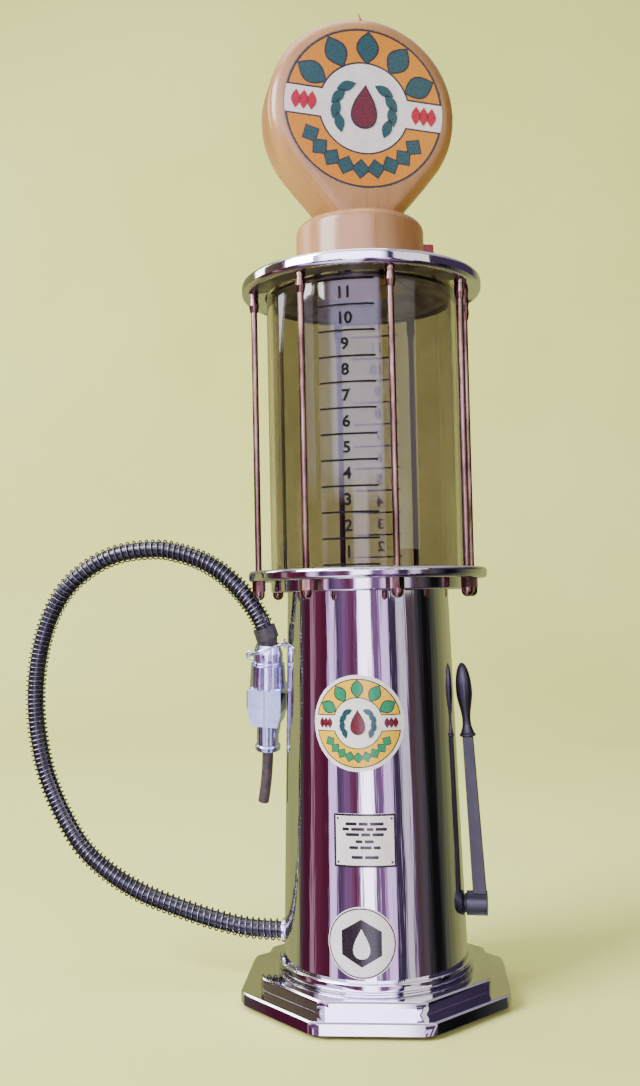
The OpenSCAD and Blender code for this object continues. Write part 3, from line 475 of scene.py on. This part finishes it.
LAMP_TURN = math.radians(22)
LAMP_ACROSS = Vector((math.cos(LAMP_TURN), math.sin(LAMP_TURN), 0))
LAMP_OUT = Vector((math.sin(LAMP_TURN), -math.cos(LAMP_TURN), 0))
UP = Vector((0, 0, 1))
GLOBE_R, GLOBE_HALF_DEPTH, GLOBE_EDGE, GLOBE_WALL = 46 * MM, 15.3 * MM, 6.8 * MM, 2 * MM
# half the width of the globe's foot, and how far the flanks run inside the round's edge
GLOBE_FOOT_W, FLANK_INSET = 15 * MM, 0.5 * MM
GLOBE_TURNS = [math.radians(1.5 * i) for i in range(240)]
# each printed face sits in a round step of this radius and depth, on a lip of this width
SEAT_R, SEAT_DEPTH, SEAT_LIP = 39 * MM, 1.2 * MM, 2.1 * MM
# the moulding nib on top of the globe
NIB_OUT, NIB_SUNK, NIB_LENGTH = 12 * MM, 4.6 * MM, 6.6 * MM
NIB_FOOT_R, NIB_TIP_R = 2 * MM, 0.4 * MM
NIB_LEAN = LAMP_ACROSS * -0.24 + LAMP_OUT * 0.13 + UP * 0.97


def globe_outline(height):
    """The globe's radius by angle: round, with two straight flanks down to a flat foot at this depth."""
    reach = math.hypot(GLOBE_FOOT_W, height)
    flank = math.atan2(height, GLOBE_FOOT_W) - math.acos((GLOBE_R - FLANK_INSET) / reach)

    def radius(a, inset, floor):
        below = -math.sin(a)
        full = GLOBE_R - inset
        if below <= 0:
            return full
        side = abs((a - 1.5 * math.pi + math.pi) % math.tau - math.pi)
        down = math.pi / 2 - side
        line = full / math.cos(down - flank) if down > flank else full
        return min(line, (height - floor) / below)

    return radius


def globe_section():
    """The shell's section: (inset, floor, y) for its outside and inside, (None, radius, y) for the seats."""
    quarter = [math.radians(10 * i) for i in range(10)]

    def half_skin(thickness):
        edge = GLOBE_EDGE - thickness
        return [(thickness + edge * (1 - math.sin(t)), GLOBE_HALF_DEPTH - GLOBE_EDGE + edge * math.cos(t))
                for t in quarter]

    outside, inside = half_skin(0), half_skin(GLOBE_WALL)
    lip_r = SEAT_R - SEAT_LIP
    back = GLOBE_HALF_DEPTH
    seat = [(None, SEAT_R, back), (None, SEAT_R, back - SEAT_DEPTH), (None, lip_r, back - SEAT_DEPTH),
            (None, lip_r, back - GLOBE_WALL)]
    section = [(None, SEAT_R, -back)]
    section += [(inset, 0, -y) for inset, y in outside] + [(inset, 0, y) for inset, y in outside[::-1]]
    section += seat
    section += [(inset, GLOBE_WALL, y) for inset, y in inside]
    section += [(inset, GLOBE_WALL, -y) for inset, y in inside[::-1]]
    section += [(None, r, -y) for _, r, y in seat[:0:-1]]
    return section


def make_globe(look):
    """The globe's shell: rings round its middle, from one face's seat to the other and back inside."""
    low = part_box("globe_shell")[0]
    middle = (box_middle("front_face") + box_middle("rear_face")) / 2
    radius = globe_outline(middle.z - low.z)
    bm = bmesh.new()
    rings = []
    for inset, second, y in globe_section():
        ring = []
        for a in GLOBE_TURNS:
            r = second if inset is None else radius(a, inset, second)
            ring.append(bm.verts.new(middle + LAMP_ACROSS * (r * math.cos(a)) + UP * (r * math.sin(a))
                                     - LAMP_OUT * y))
        rings.append(ring)
    sides = len(GLOBE_TURNS)
    for one, two in zip(rings, rings[1:] + rings[:1]):
        for k in range(sides):
            bm.faces.new((one[k], one[(k + 1) % sides], two[(k + 1) % sides], two[k]))
    foot = middle + LAMP_OUT * NIB_OUT + UP * (GLOBE_R - NIB_SUNK)
    tip = foot + NIB_LEAN.normalized() * NIB_LENGTH
    nib = [foot.lerp(tip, i / 6) for i in range(7)]
    swept_tube(bm, nib, lambda s: NIB_FOOT_R + (NIB_TIP_R - NIB_FOOT_R) * s, 20)
    finish_piece(new_object("globe_finished", bm, 40), BODY_OF["globe_shell"], SLOT_OF["globe_shell"], look,
                 ["globe_shell"])


# ---- flat shapes for the printed art: outlines in millimetres ----

def arc(radius, start, end, steps=None, centre=(0, 0)):
    """Points on an arc. Angles are in degrees."""
    count = steps or max(2, int(abs(end - start) / 5))
    angles = [math.radians(start + (end - start) * i / count) for i in range(count + 1)]
    return [(centre[0] + radius * math.cos(a), centre[1] + radius * math.sin(a)) for a in angles]


def turned(outline, angle, at=(0, 0)):
    """An outline turned by an angle in degrees, then moved."""
    c, s = math.cos(math.radians(angle)), math.sin(math.radians(angle))
    return [(at[0] + c * x - s * y, at[1] + s * x + c * y) for x, y in outline]


def moved(outline, x, y):
    """An outline moved without a turn."""
    return [(x + u, y + v) for u, v in outline]


def grown(outline, by):
    """A convex outline, made larger all round its middle."""
    mx = sum(x for x, y in outline) / len(outline)
    my = sum(y for x, y in outline) / len(outline)
    out = []
    for x, y in outline:
        r = math.hypot(x - mx, y - my)
        out.append((mx + (x - mx) * (r + by) / r, my + (y - my) * (r + by) / r))
    return out


def box_outline(width, height, corner=0.0):
    """A rectangle about the origin, with round corners if a radius is given."""
    w, h = width / 2 - corner, height / 2 - corner
    if not corner:
        return [(-w, -h), (w, -h), (w, h), (-w, h)]
    corners = ((w, h, 0), (-w, h, 90), (-w, -h, 180), (w, -h, 270))
    return [p for x, y, a in corners for p in arc(corner, a, a + 90, 4, (x, y))]


def leaf_outline(length, width):
    """Two arcs that meet in points, along X."""
    bulge = [(length * (i / 10 - 0.5), width / 2 * math.sin(math.pi * i / 10)) for i in range(11)]
    return bulge + [(x, -y) for x, y in bulge[-2:0:-1]]


def drop_outline(size):
    """A drop, point up."""
    steps = 28
    out = []
    for i in range(steps):
        a = math.tau * i / steps
        out.append((size * 0.5 * math.sin(a) * math.sin(a / 2) ** 1.4, size * 0.62 * math.cos(a)))
    return out


def ring_half(inner, outer, cut, upper):
    """The part of a ring above a horizontal line at height cut, or below it at -cut."""
    a_in, a_out = (math.degrees(math.asin(cut / r)) for r in (inner, outer))
    half = arc(outer, a_out, 180 - a_out, 36) + arc(inner, 180 - a_in, a_in, 30)
    return half if upper else [(x, -y) for x, y in half]


# flat art is cut into strips of this width, in mm, so that it can bend round a surface
STRIP_WIDTH = 1.5


def print_shapes(name, shapes, place, thick, body, slot, look):
    """One closed thin piece from outlines, laid on a surface: place(u, v, lift) gives a point in metres."""
    bm = bmesh.new()
    for outline in shapes:
        verts = [bm.verts.new((x, y, 0)) for x, y in outline]
        bm.faces.new(verts)
    bmesh.ops.triangulate(bm, faces=bm.faces)
    reach = max(abs(v.co.x) for v in bm.verts)
    cuts = int(reach / STRIP_WIDTH)
    for i in range(-cuts, cuts + 1):
        geometry = bm.verts[:] + bm.edges[:] + bm.faces[:]
        bmesh.ops.bisect_plane(bm, geom=geometry, plane_co=(i * STRIP_WIDTH, 0, 0), plane_no=(1, 0, 0))
    top = bmesh.ops.extrude_face_region(bm, geom=bm.faces[:])["geom"]
    raised = {v for v in top if isinstance(v, bmesh.types.BMVert)}
    for v in bm.verts:
        v.co = place(v.co.x, v.co.y, thick if v in raised else 0.0)
    return finish_piece(new_object(name, bm), body, slot, look)


# ---- the printed art: a plain ring, band and drop ----

FACE_INKS = {"back": "ink_black", "ring": "ink_orange", "motif_edge": "ink_black", "motif": "ink_teal",
             "band_mark": "ink_red", "leaf": "ink_teal", "drop_edge": "ink_black", "drop": "ink_maroon"}
BADGE_INKS = dict(FACE_INKS, ring="ink_yellow", motif="ink_green", band_mark="ink_maroon")
# how far each layer of an emblem stands above the one under it, and how thick the labels' ink is
INK_STEP, LABEL_INK = 0.03 * MM, 0.05 * MM
# the art starts this far from the middle of a globe face and from the column's surface
FACE_SKIN, LABEL_SKIN = 0.55 * MM, 0.27 * MM
FACE_ART_TILT = math.radians(-4.5)
FACE_ART_R, BADGE_ART_R = 38.75, 19.6


def emblem_layers(r):
    """Outlines by ink for a round emblem of radius r. Every size in it is a share of r."""
    inner, outer, band, line = 0.56 * r, 0.975 * r, 0.17 * r, 0.022 * r
    middle = (inner + outer) / 2

    def set_round(outline, radius, angle, turn, drop=0.0):
        x, y = arc(radius, angle, angle, 1)[0]
        return turned(outline, turn, (x, y - drop))

    big_leaf, small_leaf = leaf_outline(0.38 * r, 0.25 * r), leaf_outline(0.27 * r, 0.13 * r)
    square, bar = box_outline(0.15 * r, 0.15 * r), leaf_outline(0.24 * r, 0.12 * r)
    above = [set_round(big_leaf, middle, a, a) for a in (28 + 31 * i for i in range(5))]
    below = [set_round(square, middle, a, a + 45) for a in (212 + 14.5 * i for i in range(9))]
    bars = [turned(bar, 90, (side * r * (0.66 + 0.1 * k), 0)) for side in (-1, 1) for k in range(3)]
    wreath = [set_round(small_leaf, 0.36 * r, 90 + side * a, 90 + side * (a + 72), 0.02 * r)
              for side in (-1, 1) for a in (42 + 27 * k for k in range(4))]
    drop = [moved(drop_outline(0.42 * r), 0, 0.02 * r)]
    return {
        "back": [ring_half(inner, r, band, up) for up in (True, False)],
        "ring": [ring_half(inner + line, outer, band + line, up) for up in (True, False)],
        "motif_edge": [grown(m, line) for m in above + below],
        "motif": above + below,
        "band_mark": bars,
        "leaf": wreath,
        "drop_edge": [grown(d, line) for d in drop],
        "drop": drop,
    }


def print_emblem(name, radius, place, node, inks, looks):
    """The emblem's layers on a CAD node, each a hair higher than the one under it."""
    for level, (part, shapes) in enumerate(emblem_layers(radius).items(), 1):
        print_shapes(f"{name}_{part}", shapes, place, INK_STEP * level, BODY_OF[node], SLOT_OF[node],
                     looks[inks[part]])


def on_face(node, side):
    """Places flat art on a globe face: side is -1 for the front and 1 for the rear."""
    middle = box_middle(node)
    right = LAMP_ACROSS * (-side)
    out = LAMP_OUT * (-side)
    c, s = math.cos(FACE_ART_TILT), math.sin(FACE_ART_TILT)

    def place(u, v, lift):
        x, z = (c * u - s * v) * MM, (s * u + c * v) * MM
        return middle + right * x + UP * z + out * (FACE_SKIN + lift)

    return place


def on_column(node, turn_degrees):
    """Places flat art at a label's height on the tapered column, wrapped round it."""
    foot_z, top_z = (corner.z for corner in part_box("column_shell"))
    foot_r, top_r = (corner_radius("column_shell", z) for z in (foot_z, top_z))
    z_middle = box_middle(node).z

    def place(u, v, lift):
        z = z_middle + v * MM
        r = foot_r + (top_r - foot_r) * (z - foot_z) / (top_z - foot_z)
        a = u * MM / r + math.radians(turn_degrees)
        r += LABEL_SKIN + lift
        return Vector((r * math.sin(a), -r * math.cos(a), z))

    return place


def print_on_label(name, node, shapes, place, thick, look):
    print_shapes(name, shapes, place, thick, BODY_OF[node], SLOT_OF[node], look)


def word_bars():
    """Rows of short bars in place of the notice's words: the height of each row and its words' lengths."""
    rows = ((7.2, (5, 4, 6)), (4.9, (3, 6, 3, 5)), (2.6, (6, 4, 5)), (-0.4, (3, 4)), (-3.0, (4, 5, 3)),
            (-7.2, (5, 6)))
    gap, height, corner = 0.9, 1.3, 0.35
    bars = []
    for y, lengths in rows:
        x = -(sum(lengths) + gap * (len(lengths) - 1)) / 2
        for length in lengths:
            bars.append(moved(box_outline(length, height, corner), x + length / 2, y))
            x += length + gap
    return bars


def print_notice(look):
    """The notice plate's border, the four dots in its corners and its rows of bars."""
    node = "notice_plate"
    low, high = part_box(node)
    w, h = 27.7, (high.z - low.z) / MM
    edge, dot_r, dot_in_x, dot_in_y = 0.9, 0.5, 1.9, 2.1
    border = [moved(box_outline(w, edge), 0, s * (h - edge) / 2) for s in (-1, 1)]
    border += [moved(box_outline(edge, h - 2 * edge), s * (w - edge) / 2, 0) for s in (-1, 1)]
    dots = [arc(dot_r, 0, 350, 14, (sx * (w / 2 - dot_in_x), sy * (h / 2 - dot_in_y)))
            for sx in (-1, 1) for sy in (-1, 1)]
    print_on_label("notice_marks", node, border + dots + word_bars(), on_column(node, 3), LABEL_INK, look)


def print_foot_badge(looks):
    """A thin rim and a hexagon with a drop in it."""
    node = "foot_badge"
    place = on_column(node, 0)
    rim_in, rim_out, hexagon_r = 14.4, 14.9, 10.2
    rim = [arc(rim_out, a, a + 20, 4) + arc(rim_in, a + 20, a, 4) for a in range(0, 360, 20)]
    hexagon = [arc(hexagon_r, 30, 330, 5)]
    print_on_label("foot_marks", node, rim + hexagon, place, LABEL_INK, looks["ink_black"])
    drop = [moved(drop_outline(10.5), 0, -0.3)]
    print_on_label("foot_drop", node, drop, place, LABEL_INK + INK_STEP, looks["label_print"])


def make_prints(looks):
    for name, node, side in (("front_art", "front_face", -1), ("rear_art", "rear_face", 1)):
        print_emblem(name, FACE_ART_R, on_face(node, side), node, FACE_INKS, looks)
    print_emblem("badge_art", BADGE_ART_R, on_column("round_badge", 0), "round_badge", BADGE_INKS, looks)
    print_notice(looks["ink_black"])
    print_foot_badge(looks)


# ---- parting line down the front of the lamp ----

SEAM_R, SEAM_STEPS = 0.13 * MM, 40


def front_line(mesh, foot, head):
    """Points down the front of the lamp, where rays towards its axis meet a mesh."""
    tree = BVHTree.FromPolygons([v.co for v in mesh.vertices], [p.vertices for p in mesh.polygons])
    line = []
    for i in range(SEAM_STEPS + 1):
        z = foot + (head - foot) * i / SEAM_STEPS
        hit = tree.ray_cast(UP * z + LAMP_OUT * 0.1, -LAMP_OUT)[0]
        if hit and hit.dot(LAMP_OUT) > 5 * MM:
            line.append(hit)
    return line


def make_seams(look):
    """A fine line where the lamp's moulded halves meet, on the front of the lamp base and the globe."""
    shown = {"lamp_base": NODES["lamp_base"], "globe_shell": bpy.data.objects["globe_finished"]}
    face_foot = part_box("front_face")[0].z
    for node, piece in shown.items():
        low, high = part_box(node)
        line = front_line(piece.data, low.z + 0.3 * MM, min(high.z, face_foot) - 1.5 * MM)
        bm = bmesh.new()
        swept_tube(bm, line, SEAM_R, 6)
        finish_piece(new_object(node + "_seam", bm), BODY_OF[node], SLOT_OF[node], look)


# ---- scale on the glass ----

SCALE_FIRST_Z, SCALE_PITCH = 199.5, 11.6
# the rear scale sits a little lower, so its first line is behind the lower disc
REAR_SCALE_DROP = 5.3
SCALE_LEFT, SCALE_RIGHT, SCALE_LINE_H = -13.4, 12.5, 0.85
NUMERAL_H, NUMERAL_X, NUMERAL_RISE = 5.3, -1.2, 5.4
# a numeral's height as a share of the font's size
CAPITAL_SHARE = 0.73


def on_glass(behind):
    """Places flat art on the glass, with v as the height above the floor, at the front or at the rear."""
    glass_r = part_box("glass_cylinder")[1].x
    skin = 0.04 * MM

    def place(u, v, lift):
        a = u * MM / glass_r + (math.pi if behind else 0)
        r = glass_r + skin + lift
        return Vector((r * math.sin(a), -r * math.cos(a), v * MM))

    return place


def make_numeral(number, side, line_z, place, ink):
    """A numeral above its line. line_z is in mm."""
    text = bpy.data.curves.new(f"numeral_{number}", "FONT")
    text.body = str(number)
    text.size = NUMERAL_H / CAPITAL_SHARE * MM
    text.align_x = "CENTER"
    text.align_y = "CENTER"
    text.offset = 0.2 * MM
    text.extrude = 0.03 * MM
    text.resolution_u = 4
    flat = bpy.data.objects.new("numeral", text)
    bpy.context.scene.collection.objects.link(flat)
    bpy.context.view_layer.update()
    mesh = bpy.data.meshes.new_from_object(flat)
    bpy.data.objects.remove(flat)
    middle = line_z + NUMERAL_RISE
    for v in mesh.vertices:
        v.co = place(v.co.x / MM + NUMERAL_X, v.co.y / MM + middle, v.co.z + 0.03 * MM)
    made = bpy.data.objects.new(f"numeral_{number}_{side}", mesh)
    bpy.context.scene.collection.objects.link(made)
    finish_piece(made, "stand", "glass", ink)


def make_scale(ink):
    """The scale's lines and its numerals from 1 to 12, on the front of the glass and again on its rear."""
    for side, first, drop in (("front", 1, 0), ("rear", 2, REAR_SCALE_DROP)):
        place = on_glass(side == "rear")
        heights = {number: SCALE_FIRST_Z - drop + SCALE_PITCH * (number - 1) for number in range(first, 13)}
        line = box_outline(SCALE_RIGHT - SCALE_LEFT, SCALE_LINE_H)
        lines = [moved(line, (SCALE_LEFT + SCALE_RIGHT) / 2, z) for z in heights.values()]
        print_shapes(f"scale_lines_{side}", lines, place, 0.05 * MM, "stand", "glass", ink)
        for number, z in heights.items():
            make_numeral(number, side, z, place, ink)


# ---- light, floor and backdrop ----

# colours of the room's panels, as the chrome mirrors them
OLIVE, BROWN = (0.42, 0.45, 0.16), (0.09, 0.05, 0.05)
STONE, SLATE = (0.1, 0.085, 0.1), (0.045, 0.045, 0.045)
MAROON, WINE, ROSE = (0.09, 0.012, 0.036), (0.17, 0.03, 0.07), (0.46, 0.24, 0.34)
LILAC, MAUVE, PLUM = (1.4, 0.95, 1.7), (0.26, 0.13, 0.31), (0.15, 0.09, 0.19)
WHITE, BRIGHT, CLOTH = (4.6, 4.0, 5.4), (0.95, 0.85, 1.0), (1.5, 1.5, 2.1)
DUSK, WINDOW = (1.3, 1.1, 1.7), (5.0, 4.6, 7.2)
DARK, BLACK, GREY = (0.06, 0.04, 0.085), (0.008, 0.008, 0.008), (0.09, 0.085, 0.08)
OVERHEAD = (0.75, 0.72, 0.82)
SOFT_LIGHT, BACKDROP = (0.3, 0.29, 0.33), (0.62, 0.62, 0.46)
# panels by direction, in degrees from the front, to the right if positive
LEVEL_PANELS = (
    (-180, OLIVE), (-106, OLIVE), (-100, GREY), (-92, MAROON), (-81, MAROON), (-79, ROSE), (-75, ROSE),
    (-72, WINE), (-52, MAROON), (-47, LILAC), (-42, LILAC), (-37, DARK), (-26, MAUVE), (-14, WINE),
    (-8, MAUVE), (-4, WHITE), (8, WHITE), (13, MAUVE), (21, MAUVE), (26, LILAC), (33, LILAC), (38, DARK),
    (46, DARK), (50, BRIGHT), (57, BRIGHT), (60, PLUM), (66, BROWN), (74, STONE), (88, BLACK), (98, BLACK),
    (104, SLATE), (150, OLIVE),
)
UPPER_PANELS = (
    (-180, OLIVE), (-70, BROWN), (-60, DUSK), (-32, DUSK), (-26, WINDOW), (26, WINDOW), (34, DARK),
    (140, DARK), (160, OLIVE),
)
LOWER_PANELS = (
    (-180, OLIVE), (-70, BROWN), (-50, MAUVE), (-34, CLOTH), (4, CLOTH), (14, DARK), (40, MAUVE),
    (70, BLACK), (130, STONE), (160, OLIVE),
)


def make_world():
    """A soft room: pale where it shows, with dark and light panels where the chrome mirrors it."""
    world = bpy.data.worlds.new("studio")
    bpy.context.scene.world = world
    world.use_nodes = True
    nodes, links = world.node_tree.nodes, world.node_tree.links

    def spread(value, low, high):
        """From 0 where a value is at low to 1 where it is at high."""
        one = nodes.new("ShaderNodeMapRange")
        one.inputs["From Min"].default_value = low
        one.inputs["From Max"].default_value = high
        links.new(value, one.inputs["Value"])
        return one.outputs[0]

    def panels(turn, bands):
        """Colours by direction round the object."""
        one = nodes.new("ShaderNodeValToRGB")
        steps = one.color_ramp.elements
        for degrees, colour in bands[1:-1]:
            steps.new((degrees + 180) / 360).color = colour + (1,)
        steps[0].position, steps[0].color = 0, bands[0][1] + (1,)
        steps[-1].position, steps[-1].color = (bands[-1][0] + 180) / 360, bands[-1][1] + (1,)
        links.new(turn, one.inputs["Fac"])
        return one.outputs["Color"]

    def mixed(share, *colours):
        """The first colour where the share is 0 and the second where it is 1."""
        one = nodes.new("ShaderNodeMix")
        one.data_type = "RGBA"
        links.new(share, one.inputs["Factor"])
        for socket, colour in zip("AB", colours):
            if isinstance(colour, tuple):
                one.inputs[socket].default_value = colour + (1,)
            else:
                links.new(colour, one.inputs[socket])
        return one.outputs["Result"]

    place = nodes.new("ShaderNodeTexCoord")
    ray = nodes.new("ShaderNodeSeparateXYZ")
    links.new(place.outputs["Generated"], ray.inputs["Vector"])
    forward = nodes.new("ShaderNodeMath")
    forward.operation = "MULTIPLY"
    forward.inputs[1].default_value = -1
    links.new(ray.outputs["Y"], forward.inputs[0])
    angle = nodes.new("ShaderNodeMath")
    angle.operation = "ARCTAN2"
    links.new(ray.outputs["X"], angle.inputs[0])
    links.new(forward.outputs[0], angle.inputs[1])
    turn = spread(angle.outputs[0], -math.pi, math.pi)

    height = ray.outputs["Z"]
    room = mixed(spread(height, 0.085, 0.12), panels(turn, LEVEL_PANELS), panels(turn, UPPER_PANELS))
    room = mixed(spread(height, -0.36, -0.44), room, panels(turn, LOWER_PANELS))
    room = mixed(spread(height, 0.45, 0.8), room, OVERHEAD)

    kind = nodes.new("ShaderNodeLightPath")
    mirrored = mixed(kind.outputs["Is Glossy Ray"], SOFT_LIGHT, room)
    shown = mixed(kind.outputs["Is Camera Ray"], mirrored, BACKDROP)
    links.new(shown, nodes["Background"].inputs["Color"])
    nodes["Background"].inputs["Strength"].default_value = 1.0


# name, place, what it points at, size, power in watts and colour
LIGHTS = (
    ("key", (-1.2, -1.0, 1.2), (0, 0, 0.25), 0.9, 70, (1, 0.98, 1)),
    ("fill", (1.2, -0.8, 0.7), (0, 0, 0.2), 0.9, 4, (1, 0.96, 0.9)),
    ("wash", (-1.9, 0.5, 1.2), (-0.5, 1.7, 0.5), 0.8, 16, (1, 1, 1)),
    ("top", (-0.3, 0.1, 1.7), (0, 0.2, 0.1), 1.2, 16, (1, 1, 1)),
)


def make_light(name, at, towards, size, power, colour):
    data = bpy.data.lights.new(name, "AREA")
    data.size = size
    data.energy = power
    data.color = colour
    light = bpy.data.objects.new(name, data)
    bpy.context.scene.collection.objects.link(light)
    light.location = at
    light.rotation_euler = (Vector(towards) - Vector(at)).to_track_quat("-Z", "Y").to_euler()


def make_stage():
    """A pale floor that curves up into a backdrop behind the object."""
    front, back, bend, top, half_width = -5.0, 1.7, 0.8, 4.5, 6.0
    profile = [(front, 0.0), (-1.0, 0.0), (0.0, 0.0), (back - bend, 0.0)]
    profile += [(back - bend + bend * math.sin(a), bend - bend * math.cos(a))
                for a in (math.radians(5 * i) for i in range(1, 19))]
    profile.append((back, top))
    bm = bmesh.new()
    columns = [[bm.verts.new((x, y, z)) for y, z in profile] for x in (-half_width, 0, half_width)]
    for one, two in zip(columns, columns[1:]):
        for i in range(len(profile) - 1):
            bm.faces.new((one[i], two[i], two[i + 1], one[i + 1]))
    floor = new_object("floor", bm, 60)
    floor.data.materials.append(surface(
        "pale_floor", linear(236, 240, 146), linear(224, 229, 128), grain=1.2, rough=(0.75, 0.9), bump=0.05,
        bump_grain=140))
    floor.visible_glossy = False


# ---- everything, in order ----

looks = make_looks()
make_hose(looks["hose_rubber"], looks["spring_wire"])
dress_nodes(looks)
make_trigger_spring(looks["steel"])
make_globe(looks["cream_plastic"])
make_prints(looks)
make_seams(looks["seam"])
make_scale(looks["scale_ink"])
make_world()
make_stage()
for light in LIGHTS:
    make_light(*light)
